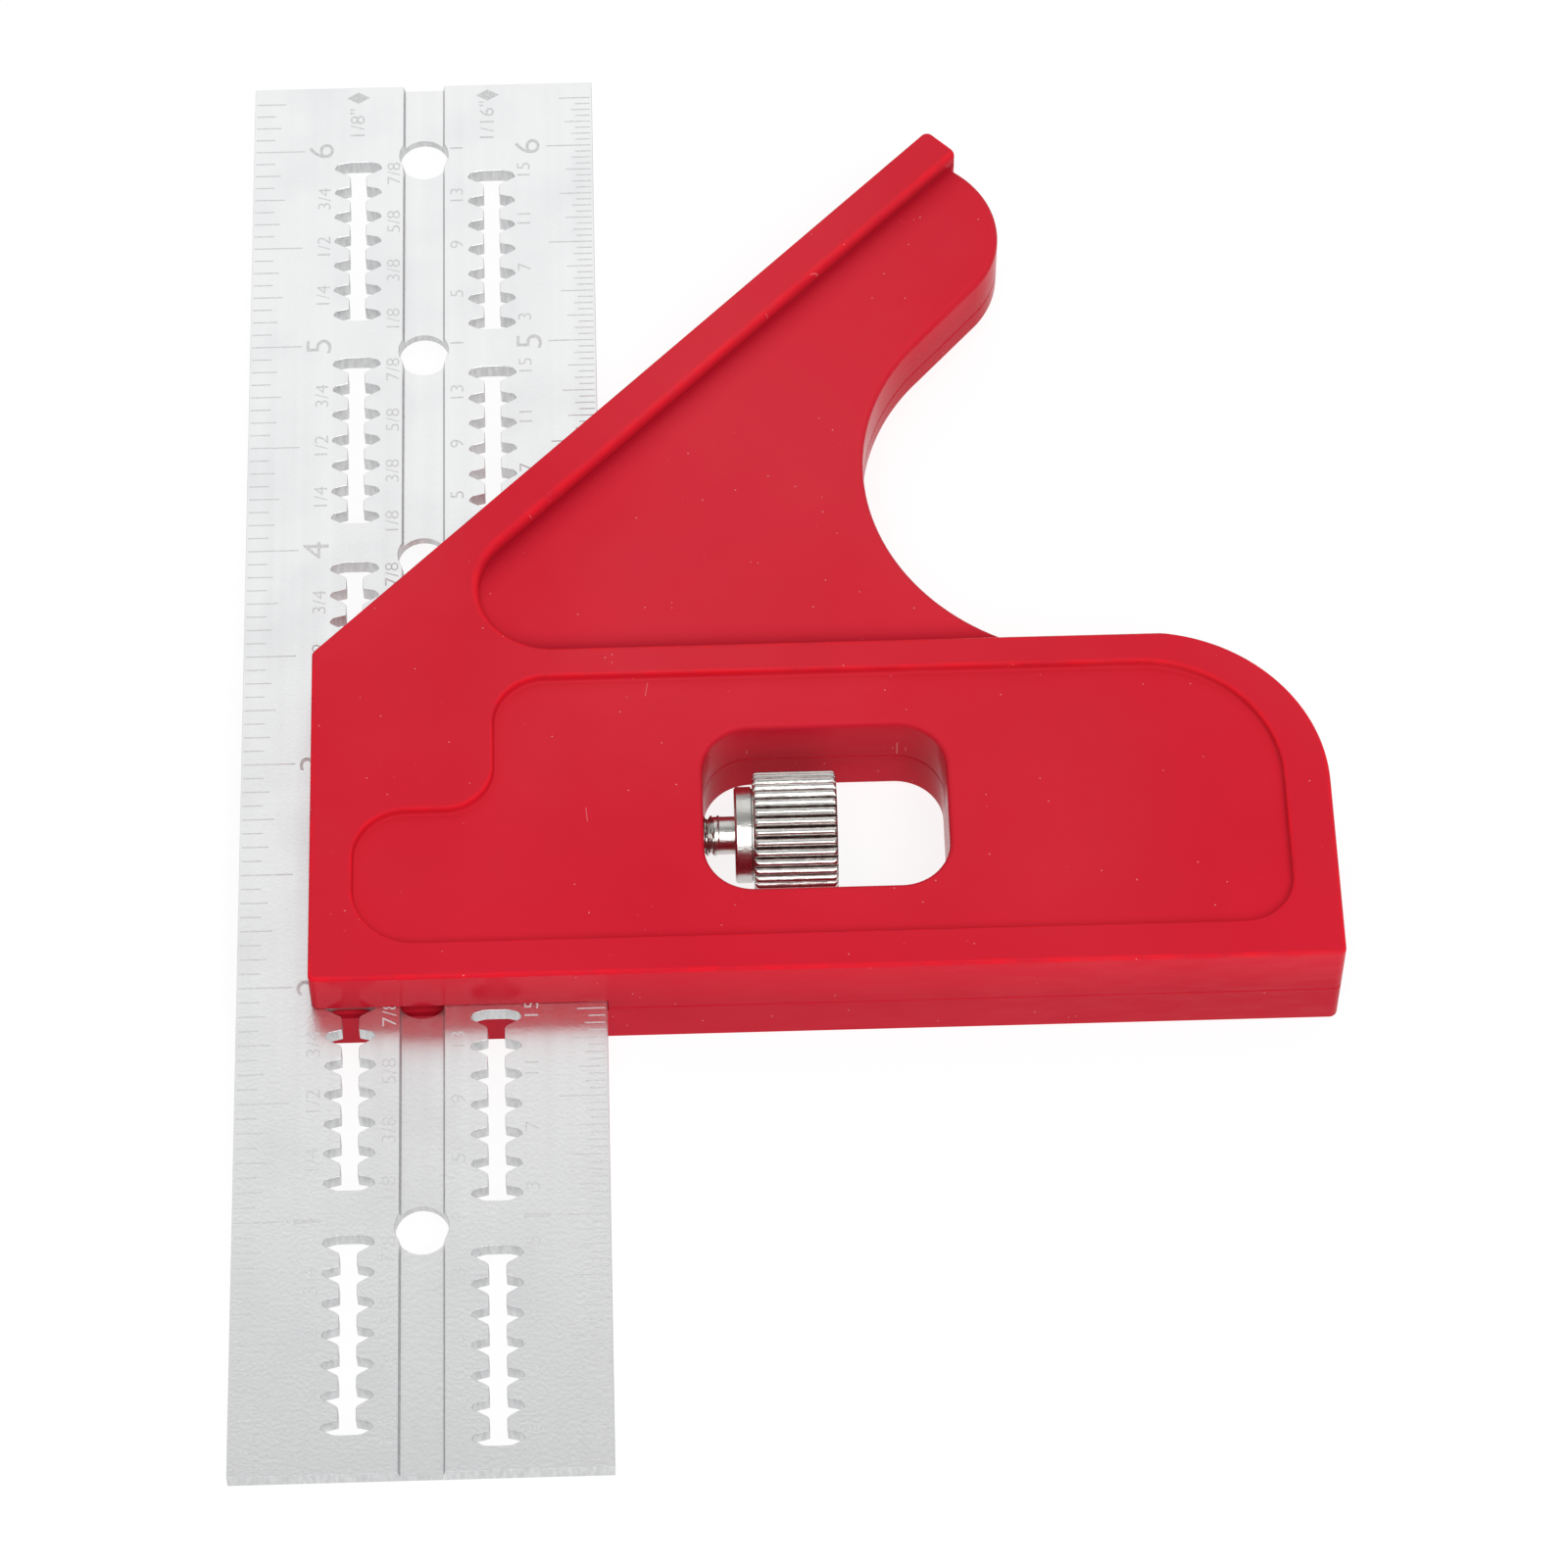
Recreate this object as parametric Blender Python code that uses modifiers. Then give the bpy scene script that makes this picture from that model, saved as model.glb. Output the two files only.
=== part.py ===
"""Six-inch combination square: a two-shell plastic head that slides and clamps on a slotted ruler.

The model is laid out on the ruler itself. X is measured from the ruler's left edge, Y from the
scale's zero and Z from the ruler's engraved face, all in millimetres until a shape is made. One
empty then carries everything to the object's own frame: origin under the middle of the object, on
the plane it lies on, with +X to the right, +Y along the ruler and +Z up.
"""

import math

import bmesh
import bpy
from mathutils import Vector

MM = 0.001
INCH = 25.4
WELD = 0.00001

# Ruler
RULER_WIDTH = 35.5
RULER_THICKNESS = 1.8
RULER_FOOT = -0.8
RULER_TOP = 160.8
GROOVE_CENTRE = 17.8
GROOVE_WIDTH = 4.35
GROOVE_DEPTH = 0.85
HOLE_RADIUS = 2.55
HOLE_BELOW_INCH = 0.85
INCH_COUNT = 6

# Toothed marking slots: seven pointed lobes on one narrow neck, an eighth of an inch apart. Each
# column is its centre's X and how far its first lobe's tip lies from the first eighth of an inch.
SLOT_COLUMNS = ((10.95, 0.79), (24.86, -0.7))
LOBE_COUNT = 7
LOBE_PITCH = INCH / 8
NECK_HALF_WIDTH = 0.82
LOBE_TIP = (2.44, 0)
LOBE_NEAR_FLANK = ((NECK_HALF_WIDTH, -1.05), (2.3, -0.2))
LOBE_FAR_FLANK = ((2.1, 0.4), (NECK_HALF_WIDTH, 0.74))
LOBE_NEAR_END = ((1.3, -0.78), (2.1, -0.37))
LOBE_FAR_END = ((2.1, 0.47), (1.2, 0.76))

# Head outline
HEAD_LEFT = 7.15
HEAD_RIGHT = 106.1
HEAD_FRONT = 48.3
ARM_BACK = 85.7
ARM_CORNER_RADIUS = 17.7
MITER_OFFSET = 78.6
WING_TIP_SUM = 219.4
WING_TIP_STEP = 0.5
EDGE_RADIUS = 0.8
TIP_RADIUS = 1.0
NOTCH_CENTRE = (85.2, 107.4)
NOTCH_RADIUS = 22.95
NOTCH_END = 136
NOSE_CENTRE = (66.9, 136.8)
NOSE_RADIUS = 10.35
NOSE_START = -44
NOSE_END = 53

# Head heights
HEAD_TOP = 5.5
HEAD_BOTTOM = -6.8
SEAM = -1.3
SEAM_GAP = 0.3
PANEL_TOP = 4.5
PANEL_BOTTOM = -6.5
WING_TOP = 3.7
WING_BOTTOM = -3.7

# Recesses, window and ruler slot in the head
WING_RIM_OFFSET = 72.6
WING_POCKET_RADIUS = 7.4
PANEL_LEFT = 11.3
PANEL_RIGHT = 101.6
PANEL_FRONT = 52.3
PANEL_BACK = 82.2
PANEL_STEP_X = 24.9
PANEL_STEP_Y = 67.2
PANEL_CORNERS = (
    (PANEL_LEFT, PANEL_FRONT, 6.2),
    (PANEL_RIGHT, PANEL_FRONT, 5.0),
    (PANEL_RIGHT, PANEL_BACK, 13.5),
    (PANEL_STEP_X, PANEL_BACK, 5.2),
    (PANEL_STEP_X, PANEL_STEP_Y, 4.8),
    (PANEL_LEFT, PANEL_STEP_Y, 5.2),
)
WINDOW_LEFT = 45.2
WINDOW_RIGHT = 68.9
WINDOW_FRONT = 58.0
WINDOW_BACK = 76.2
WINDOW_RADIUS = 4.8
RULER_PLAY = 0.1
SLOT_END = 35.7
RIB_WIDTH = 3.7
RIB_DEPTH = 0.7
RIB_INSET = 0.6

# Hollow in the right arm, under the panels
HOLLOW_LEFT = 73.4
HOLLOW_RIGHT = 98.4
HOLLOW_FRONT = 55.6
HOLLOW_BACK = 78.6
HOLLOW_CORNERS = (
    (HOLLOW_LEFT, HOLLOW_FRONT, 2.0),
    (HOLLOW_RIGHT, HOLLOW_FRONT, 3.0),
    (HOLLOW_RIGHT, HOLLOW_BACK, 10.0),
    (HOLLOW_LEFT, HOLLOW_BACK, 2.0),
)
HOLLOW_TOP = 2.5
HOLLOW_BOTTOM = -4.5
RIB_THICKNESS = 1.6
BOSS_RADIUS = 4.0

# Clamp, on one axis along X
CLAMP_Y = 67.0
CLAMP_Z = -0.6
THREAD_RADIUS = 2.0
THREAD_PITCH = 0.7
SCREW_TIP = 37.5
NECK_START = 46.7
SHOULDER_START = 48.2
BARREL_START = 50.0
BARREL_END = 58.15
NECK_RADIUS = 1.85
SHOULDER_RADIUS = 4.7
BARREL_RADIUS = 6.15
BARREL_CHAMFER = 0.45
KNURL_TEETH = 36
KNURL_DEPTH = 0.5
DOG_RADIUS = 1.2
DOG_LENGTH = 0.8
PAD_FACE = 35.65
PAD_LENGTH = 1.6
PAD_RADIUS = 2.4
PAD_SOCKET_RADIUS = 1.5
PAD_SOCKET_DEPTH = 0.85
PAD_BORE_RADIUS = 2.7
NUT_START = 40.7
NUT_THICKNESS = 2.2
NUT_WIDTH = 7.0
NUT_BORE_RADIUS = 2.1
NUT_CLEARANCE = 0.3
SCREW_BORE_RADIUS = 2.35

# Self-tapping shell screws, driven up from the underside: (x, y) and the face their heads sit in
SHELL_SCREWS = (
    ("shell_screw_1", 40.9, 56.4, PANEL_BOTTOM),
    ("shell_screw_2", 40.9, 77.8, PANEL_BOTTOM),
    ("shell_screw_3", 86.0, 67.1, PANEL_BOTTOM),
    ("shell_screw_4", 49.0, 103.0, WING_BOTTOM),
    ("shell_screw_5", 68.0, 134.0, WING_BOTTOM),
)
SHELL_SCREW_RADIUS = 1.4
SHELL_SCREW_HEAD_RADIUS = 2.5
SHELL_SCREW_HEAD_HEIGHT = 1.1
SHELL_SCREW_RECESS = 0.2
SHELL_SCREW_LENGTHS = {PANEL_BOTTOM: 8.5, WING_BOTTOM: 5.0}
SHELL_HOLE_RADIUS = 1.6
SHELL_HOLE_DEPTH_SPARE = 0.4
DRIVE_WIDTH = 0.7
DRIVE_LENGTH = 2.6
DRIVE_DEPTH = 0.6

# Resolution
ARC_STEP = math.radians(9)
TURNED_STEPS = 40
SMALL_STEPS = 24
OVERCUT = 1.0

# The object's frame, seen from the ruler's own measures
FRAME_X = -HEAD_RIGHT / 2
FRAME_Y = -(RULER_FOOT + RULER_TOP) / 2
FRAME_Z = -HEAD_BOTTOM


def clear_scene():
    for item in list(bpy.data.objects):
        bpy.data.objects.remove(item, do_unlink=True)


def new_collection(name):
    collection = bpy.data.collections.new(name)
    bpy.context.scene.collection.children.link(collection)
    return collection


def new_material(name, colour, roughness, metallic):
    material = bpy.data.materials.new(name)
    material.use_nodes = True
    shader = material.node_tree.nodes["Principled BSDF"]
    shader.inputs["Base Color"].default_value = (*colour, 1.0)
    shader.inputs["Roughness"].default_value = roughness
    shader.inputs["Metallic"].default_value = metallic
    return material


clear_scene()
PARTS = new_collection("combination_square")
CUTTERS = new_collection("cutters")
FRAME = bpy.data.objects.new("square_frame", None)
FRAME.location = (FRAME_X * MM, FRAME_Y * MM, FRAME_Z * MM)
PARTS.objects.link(FRAME)

RED_PLASTIC = new_material("red_plastic", (0.63, 0.016, 0.03), 0.38, 0.0)
ALUMINIUM = new_material("ruler_aluminium", (0.78, 0.79, 0.80), 0.34, 1.0)
NICKEL = new_material("nickel_plate", (0.70, 0.69, 0.66), 0.2, 1.0)
BRASS = new_material("brass", (0.74, 0.56, 0.25), 0.3, 1.0)
ZINC_STEEL = new_material("zinc_steel", (0.62, 0.63, 0.64), 0.32, 1.0)


# ---------------------------------------------------------------- outlines


def arc(centre, radius, start, end):
    """Points from angle start to angle end, in degrees, both included."""
    sweep = math.radians(end - start)
    count = max(2, math.ceil(abs(sweep) / ARC_STEP))
    points = []
    for index in range(count + 1):
        angle = math.radians(start) + sweep * index / count
        points.append((centre[0] + radius * math.cos(angle), centre[1] + radius * math.sin(angle)))
    return points


def rounded(corners):
    """A closed outline through (x, y, radius) corners, each rounded to its radius."""
    points = []
    for index, (x, y, radius) in enumerate(corners):
        corner = Vector((x, y))
        if radius == 0:
            points.append((x, y))
            continue
        before = (Vector(corners[index - 1][:2]) - corner).normalized()
        after = (Vector(corners[(index + 1) % len(corners)][:2]) - corner).normalized()
        half = before.angle(after) / 2
        centre = corner + (before + after).normalized() * (radius / math.sin(half))
        start = corner + before * (radius / math.tan(half)) - centre
        end = corner + after * (radius / math.tan(half)) - centre
        sweep = math.atan2(start.x * end.y - start.y * end.x, start.dot(end))
        first = math.degrees(math.atan2(start.y, start.x))
        points += arc(centre, radius, first, first + math.degrees(sweep))
    return points


def plain(points):
    """Corners with no rounding, for an outline that mixes arcs and rounded corners."""
    return [(x, y, 0) for x, y in points]


def circle(centre, radius):
    return arc(centre, radius, 0, 360)[:-1]


def on_circle(centre, radius, angle):
    return (centre[0] + radius * math.cos(angle), centre[1] + radius * math.sin(angle))


def angle_at_height(centre, radius, y):
    """The angle, in degrees, where the lower left quarter of a circle crosses a height."""
    return 180 + math.degrees(math.asin((centre[1] - y) / radius))


def head_outline():
    """Right arm, hand notch, rounded nose and the 45 degree edge, anticlockwise from front left."""
    tip_outer_x = (WING_TIP_SUM - MITER_OFFSET) / 2
    tip_inner_x = (WING_TIP_SUM - WING_RIM_OFFSET - WING_TIP_STEP) / 2
    notch_start = angle_at_height(NOTCH_CENTRE, NOTCH_RADIUS, ARM_BACK)
    notch = arc(NOTCH_CENTRE, NOTCH_RADIUS, notch_start, NOTCH_END)
    nose = arc(NOSE_CENTRE, NOSE_RADIUS, NOSE_START, NOSE_END)
    corners = [
        (HEAD_LEFT, HEAD_FRONT, EDGE_RADIUS),
        (HEAD_RIGHT, HEAD_FRONT, EDGE_RADIUS),
        (HEAD_RIGHT, ARM_BACK, ARM_CORNER_RADIUS),
        *plain(notch),
        *plain(nose),
        (tip_inner_x, tip_inner_x + WING_RIM_OFFSET + WING_TIP_STEP, TIP_RADIUS),
        (tip_outer_x, tip_outer_x + MITER_OFFSET, EDGE_RADIUS),
        (HEAD_LEFT, HEAD_LEFT + MITER_OFFSET, EDGE_RADIUS),
    ]
    return rounded(corners)


def wing_recess_outline():
    """Everything inside the 45 degree rim and behind the right arm, open to the notch and nose."""
    far = HEAD_RIGHT + OVERCUT
    corners = [
        (ARM_BACK - WING_RIM_OFFSET, ARM_BACK, WING_POCKET_RADIUS),
        (far, ARM_BACK, 0),
        (far, far + WING_RIM_OFFSET, 0),
    ]
    return rounded(corners)


def box_outline(left, right, front, back, radius=0):
    corners = [(left, front), (right, front), (right, back), (left, back)]
    return rounded([(x, y, radius) for x, y in corners])


def toothed_slot_outline(centre_x, first_y):
    """Seven lobes on one neck: up the right side and down the left one."""
    right = []
    for index in range(LOBE_COUNT):
        near = LOBE_NEAR_FLANK if index > 0 else LOBE_NEAR_END
        far = LOBE_FAR_FLANK if index < LOBE_COUNT - 1 else LOBE_FAR_END
        right += [(x, y + index * LOBE_PITCH) for x, y in (*near, LOBE_TIP, *far)]
    left = [(-x, y) for x, y in reversed(right)]
    return [(centre_x + x, first_y + y) for x, y in right + left]


# ---------------------------------------------------------------- solids


def mesh_object(name, mesh, collection, material=None):
    item = bpy.data.objects.new(name, mesh)
    collection.objects.link(item)
    item.parent = FRAME
    if material:
        mesh.materials.clear()
        mesh.materials.append(material)
    if collection is CUTTERS:
        item.hide_render = True
        item.display_type = "WIRE"
    return item


def slab(name, outlines, low, high, collection=CUTTERS, material=None):
    """A flat solid from one outline, with any further outlines as through holes."""
    curve = bpy.data.curves.new(name, "CURVE")
    curve.dimensions = "2D"
    curve.fill_mode = "BOTH"
    curve.extrude = (high - low) / 2 * MM
    for outline in outlines:
        spline = curve.splines.new("POLY")
        spline.points.add(len(outline) - 1)
        for point, (x, y) in zip(spline.points, outline):
            point.co = (x * MM, y * MM, 0, 1)
        spline.use_cyclic_u = True
    source = bpy.data.objects.new(name + "_curve", curve)
    CUTTERS.objects.link(source)
    bpy.context.view_layer.update()
    evaluated = source.evaluated_get(bpy.context.evaluated_depsgraph_get())
    mesh = bpy.data.meshes.new_from_object(evaluated)
    bpy.data.objects.remove(source, do_unlink=True)
    cage = bmesh.new()
    cage.from_mesh(mesh)
    bmesh.ops.remove_doubles(cage, verts=cage.verts, dist=WELD / 10)
    bmesh.ops.recalc_face_normals(cage, faces=cage.faces)
    cage.to_mesh(mesh)
    cage.free()
    item = mesh_object(name, mesh, collection, material)
    item.location.z = (low + high) / 2 * MM
    return item


def turned(name, profile, steps=TURNED_STEPS, collection=CUTTERS, material=None):
    """A solid turned about its own X axis from (along, radius) points, from left to right."""
    mesh = bpy.data.meshes.new(name)
    cage = bmesh.new()
    points = [cage.verts.new((radius * MM, 0, -along * MM)) for along, radius in profile]
    for first, second in zip(points, points[1:]):
        cage.edges.new((first, second))
    cage.to_mesh(mesh)
    cage.free()
    item = mesh_object(name, mesh, collection, material)
    screw = item.modifiers.new("turn", "SCREW")
    screw.axis = "Z"
    screw.steps = steps
    screw.render_steps = steps
    screw.use_merge_vertices = True
    screw.merge_threshold = WELD
    screw.use_smooth_shade = False
    item.rotation_euler = (0, -math.pi / 2, 0)
    return item


def on_clamp_axis(item):
    item.location = (0, CLAMP_Y * MM, CLAMP_Z * MM)
    return item


def upright(item, x, y, z=0.0):
    """Stand a turned solid on end: its along measure then runs up Z from the given height."""
    item.rotation_euler = (math.pi, 0, 0)
    item.location = (x * MM, y * MM, z * MM)
    return item


def modify(item, other, operation):
    step = item.modifiers.new(operation.lower() + "_" + other.name, "BOOLEAN")
    step.operation = operation
    step.object = other
    step.solver = "EXACT"


def cut(item, cutter):
    modify(item, cutter, "DIFFERENCE")


def join(item, addition):
    modify(item, addition, "UNION")


# ---------------------------------------------------------------- ruler


def make_ruler():
    outlines = [box_outline(0, RULER_WIDTH, RULER_FOOT, RULER_TOP)]
    for inch in range(1, INCH_COUNT + 1):
        outlines.append(circle((GROOVE_CENTRE, inch * INCH - HOLE_BELOW_INCH), HOLE_RADIUS))
    for centre_x, offset in SLOT_COLUMNS:
        for inch in range(INCH_COUNT):
            outlines.append(toothed_slot_outline(centre_x, inch * INCH + LOBE_PITCH + offset))
    ruler = slab("ruler", outlines, -RULER_THICKNESS, 0, PARTS, ALUMINIUM)
    groove = box_outline(GROOVE_CENTRE - GROOVE_WIDTH / 2, GROOVE_CENTRE + GROOVE_WIDTH / 2,
                         RULER_FOOT - OVERCUT, RULER_TOP + OVERCUT)
    cut(ruler, slab("groove_cutter", [groove], -GROOVE_DEPTH, OVERCUT))


# ---------------------------------------------------------------- head shells


def hollow_cutter(name, low, high):
    """The hollow in the right arm, left standing round a cross of ribs and a screw boss."""
    hollow = slab(name, [rounded(HOLLOW_CORNERS)], low, high)
    x, y = SHELL_SCREWS[2][1:3]
    half = RIB_THICKNESS / 2
    below, above = low - OVERCUT, high + OVERCUT
    along = box_outline(HOLLOW_LEFT - OVERCUT, HOLLOW_RIGHT + OVERCUT, y - half, y + half)
    across = box_outline(x - half, x + half, HOLLOW_FRONT - OVERCUT, HOLLOW_BACK + OVERCUT)
    cut(hollow, slab(name + "_rib_along", [along], below, above))
    cut(hollow, slab(name + "_rib_across", [across], below, above))
    cut(hollow, slab(name + "_boss", [circle((x, y), BOSS_RADIUS)], below, above))
    return hollow


def shared_head_cutters():
    """What both shells are cut by: window, ruler slot, nut pocket and the stepped clamp bore."""
    low, high = HEAD_BOTTOM - OVERCUT, HEAD_TOP + OVERCUT
    window = box_outline(WINDOW_LEFT, WINDOW_RIGHT, WINDOW_FRONT, WINDOW_BACK, WINDOW_RADIUS)
    slot = box_outline(HEAD_LEFT - OVERCUT, SLOT_END, HEAD_FRONT - OVERCUT, SLOT_END + MITER_OFFSET + OVERCUT)
    nut_half = NUT_WIDTH / 2 + NUT_CLEARANCE
    pocket = box_outline(NUT_START - NUT_CLEARANCE, NUT_START + NUT_THICKNESS + NUT_CLEARANCE,
                         CLAMP_Y - nut_half, CLAMP_Y + nut_half)
    bore = turned("clamp_bore_cutter", [
        (SLOT_END - OVERCUT, 0), (SLOT_END - OVERCUT, PAD_BORE_RADIUS),
        (NUT_START, PAD_BORE_RADIUS), (NUT_START, SCREW_BORE_RADIUS),
        (WINDOW_LEFT + OVERCUT, SCREW_BORE_RADIUS), (WINDOW_LEFT + OVERCUT, 0)], SMALL_STEPS)
    return [
        slab("window_cutter", [window], low, high),
        slab("ruler_slot_cutter", [slot], -RULER_THICKNESS - RULER_PLAY, RULER_PLAY),
        slab("nut_pocket_cutter", [pocket], CLAMP_Z - nut_half, CLAMP_Z + nut_half),
        on_clamp_axis(bore),
    ]


def shell_screw_cutter(name, x, y, face):
    """Countersink and clearance hole in the lower shell, pilot hole in the upper one."""
    sink = face + SHELL_SCREW_RECESS
    cone_top = sink + SHELL_SCREW_HEAD_HEIGHT + SHELL_SCREW_RECESS
    tip = sink + SHELL_SCREW_LENGTHS[face] + SHELL_HOLE_DEPTH_SPARE
    mouth = SHELL_SCREW_HEAD_RADIUS + SHELL_SCREW_RECESS
    profile = [(face - OVERCUT, 0), (face - OVERCUT, mouth), (sink, mouth),
               (cone_top, SHELL_HOLE_RADIUS), (tip, SHELL_HOLE_RADIUS), (tip, 0)]
    return upright(turned(name + "_hole_cutter", profile, SMALL_STEPS), x, y)


def guide_rib():
    """The rib under the slot's ceiling that runs in the ruler's groove."""
    rib = box_outline(GROOVE_CENTRE - RIB_WIDTH / 2, GROOVE_CENTRE + RIB_WIDTH / 2,
                      HEAD_FRONT + RIB_INSET, ARM_BACK)
    return slab("guide_rib", [rib], -RIB_DEPTH, OVERCUT)


def make_head():
    outline = [head_outline()]
    upper = slab("head_upper_shell", outline, SEAM + SEAM_GAP / 2, HEAD_TOP, PARTS, RED_PLASTIC)
    lower = slab("head_lower_shell", outline, HEAD_BOTTOM, SEAM - SEAM_GAP / 2, PARTS, RED_PLASTIC)

    wing, panel = [wing_recess_outline()], [rounded(PANEL_CORNERS)]
    cut(upper, slab("upper_wing_cutter", wing, WING_TOP, HEAD_TOP + OVERCUT))
    cut(upper, slab("upper_panel_cutter", panel, PANEL_TOP, HEAD_TOP + OVERCUT))
    cut(upper, hollow_cutter("upper_hollow_cutter", SEAM, HOLLOW_TOP))
    cut(lower, slab("lower_wing_cutter", wing, HEAD_BOTTOM - OVERCUT, WING_BOTTOM))
    cut(lower, slab("lower_panel_cutter", panel, HEAD_BOTTOM - OVERCUT, PANEL_BOTTOM))
    cut(lower, hollow_cutter("lower_hollow_cutter", HOLLOW_BOTTOM, SEAM))

    cutters = shared_head_cutters()
    cutters += [shell_screw_cutter(*screw) for screw in SHELL_SCREWS]
    for shell in (upper, lower):
        for cutter in cutters:
            cut(shell, cutter)
    join(upper, guide_rib())


# ---------------------------------------------------------------- clamp


def knurled_barrel():
    """A straight-knurled drum: a toothed bar, its ends chamfered by a turned blank."""
    outline = []
    for tooth in range(KNURL_TEETH * 2):
        radius = BARREL_RADIUS - KNURL_DEPTH * (tooth % 2)
        outline.append(on_circle((0, 0), radius, math.pi * tooth / KNURL_TEETH))
    drum = slab("barrel_blank", [outline], -BARREL_END, -BARREL_START)
    drum.rotation_euler = (0, -math.pi / 2, 0)
    drum.location = (MM * (BARREL_START + BARREL_END) / 2, CLAMP_Y * MM, CLAMP_Z * MM)
    inner = BARREL_RADIUS - BARREL_CHAMFER
    outer = BARREL_RADIUS + WELD / MM
    blank = turned("barrel_chamfer_blank", [
        (BARREL_START, 0), (BARREL_START, inner), (BARREL_START + BARREL_CHAMFER, outer),
        (BARREL_END - BARREL_CHAMFER, outer), (BARREL_END, inner), (BARREL_END, 0)], KNURL_TEETH)
    modify(drum, on_clamp_axis(blank), "INTERSECT")
    return drum


def make_thumb_screw():
    """Dog point, thread, neck and shoulder turned in one piece with the knurled barrel."""
    dog_end = SCREW_TIP - DOG_LENGTH
    root = THREAD_RADIUS - THREAD_PITCH / 2
    core_end = BARREL_START + OVERCUT
    stem = turned("thumb_screw", [
        (dog_end, 0), (dog_end, DOG_RADIUS), (SCREW_TIP, DOG_RADIUS), (SCREW_TIP, root),
        (SCREW_TIP + THREAD_RADIUS - root, THREAD_RADIUS), (NECK_START, THREAD_RADIUS),
        (NECK_START, NECK_RADIUS), (SHOULDER_START, NECK_RADIUS), (SHOULDER_START, SHOULDER_RADIUS),
        (core_end, SHOULDER_RADIUS), (core_end, 0)], TURNED_STEPS, PARTS, NICKEL)
    join(on_clamp_axis(stem), knurled_barrel())


def make_pressure_pad():
    """A disc between the screw's tip and the ruler's edge, loose on the screw's dog point."""
    back = PAD_FACE + PAD_LENGTH
    floor = back - PAD_SOCKET_DEPTH
    pad = turned("pressure_pad", [
        (PAD_FACE, 0), (PAD_FACE, PAD_RADIUS), (back, PAD_RADIUS), (back, PAD_SOCKET_RADIUS),
        (floor, PAD_SOCKET_RADIUS), (floor, 0)], SMALL_STEPS, PARTS, BRASS)
    on_clamp_axis(pad)


def make_clamp_nut():
    """A thin square nut held in a pocket between the shells."""
    half = NUT_WIDTH / 2
    outlines = [box_outline(-half, half, -half, half), circle((0, 0), NUT_BORE_RADIUS)]
    nut = slab("clamp_nut", outlines, 0, NUT_THICKNESS, PARTS, ZINC_STEEL)
    nut.rotation_euler = (0, math.pi / 2, 0)
    nut.location = (MM * (NUT_START + NUT_THICKNESS / 2), CLAMP_Y * MM, CLAMP_Z * MM)


def make_shell_screws():
    """Countersunk self-tappers with a cross recess."""
    for name, x, y, face in SHELL_SCREWS:
        sink = face + SHELL_SCREW_RECESS
        neck = sink + SHELL_SCREW_HEAD_HEIGHT
        tip = sink + SHELL_SCREW_LENGTHS[face]
        screw = turned(name, [
            (sink, 0), (sink, SHELL_SCREW_HEAD_RADIUS), (neck, SHELL_SCREW_RADIUS),
            (tip - SHELL_SCREW_RADIUS, SHELL_SCREW_RADIUS), (tip, 0)], SMALL_STEPS, PARTS, ZINC_STEEL)
        upright(screw, x, y)
        for turn, label in enumerate(("a", "b")):
            slot = box_outline(-DRIVE_LENGTH / 2, DRIVE_LENGTH / 2, -DRIVE_WIDTH / 2, DRIVE_WIDTH / 2)
            blade = slab(name + "_drive_" + label, [slot], sink - OVERCUT, sink + DRIVE_DEPTH)
            blade.location.x, blade.location.y = x * MM, y * MM
            blade.rotation_euler.z = turn * math.pi / 2
            cut(screw, blade)


make_ruler()
make_head()
make_thumb_screw()
make_pressure_pad()
make_clamp_nut()
make_shell_screws()
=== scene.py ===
"""Looks for the six-inch combination square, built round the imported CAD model.

The fine meshes are laid out as the CAD is: in millimetres on the ruler itself, X from its left edge,
Y from the scale's zero and Z from the engraved face. ORIGIN puts that layout in the row frame.
"""

import math

import bmesh
import bpy
from mathutils import Matrix, Vector


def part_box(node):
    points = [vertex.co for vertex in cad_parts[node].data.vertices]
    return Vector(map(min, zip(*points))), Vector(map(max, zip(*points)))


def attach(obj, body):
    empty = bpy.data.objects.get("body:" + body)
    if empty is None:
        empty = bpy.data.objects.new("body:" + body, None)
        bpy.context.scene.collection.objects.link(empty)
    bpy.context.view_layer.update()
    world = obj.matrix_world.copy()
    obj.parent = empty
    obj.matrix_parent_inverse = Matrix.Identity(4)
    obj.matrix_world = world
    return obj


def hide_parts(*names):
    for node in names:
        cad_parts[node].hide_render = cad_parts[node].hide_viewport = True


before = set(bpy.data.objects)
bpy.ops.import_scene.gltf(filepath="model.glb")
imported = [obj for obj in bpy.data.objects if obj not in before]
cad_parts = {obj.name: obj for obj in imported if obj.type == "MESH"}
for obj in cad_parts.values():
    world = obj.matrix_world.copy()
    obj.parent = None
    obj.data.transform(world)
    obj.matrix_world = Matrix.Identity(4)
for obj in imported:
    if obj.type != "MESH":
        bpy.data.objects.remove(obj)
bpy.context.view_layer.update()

MM = 0.001
INCH = 25.4

# ---------------------------------------------------------------- sizes taken from the frame

ZERO_ABOVE_FOOT = 0.8
ruler_low, ruler_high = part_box("ruler")
ORIGIN = Vector((ruler_low.x, ruler_low.y + ZERO_ABOVE_FOOT * MM, ruler_high.z))


def corners_of(node):
    """A node's lowest and highest corners, in millimetres on the ruler."""
    low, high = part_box(node)
    return (low - ORIGIN) / MM, (high - ORIGIN) / MM


ruler_low, ruler_high = corners_of("ruler")
upper_low, upper_high = corners_of("head_upper_shell")
lower_low, lower_high = corners_of("head_lower_shell")
screw_low, screw_high = corners_of("thumb_screw")

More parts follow.
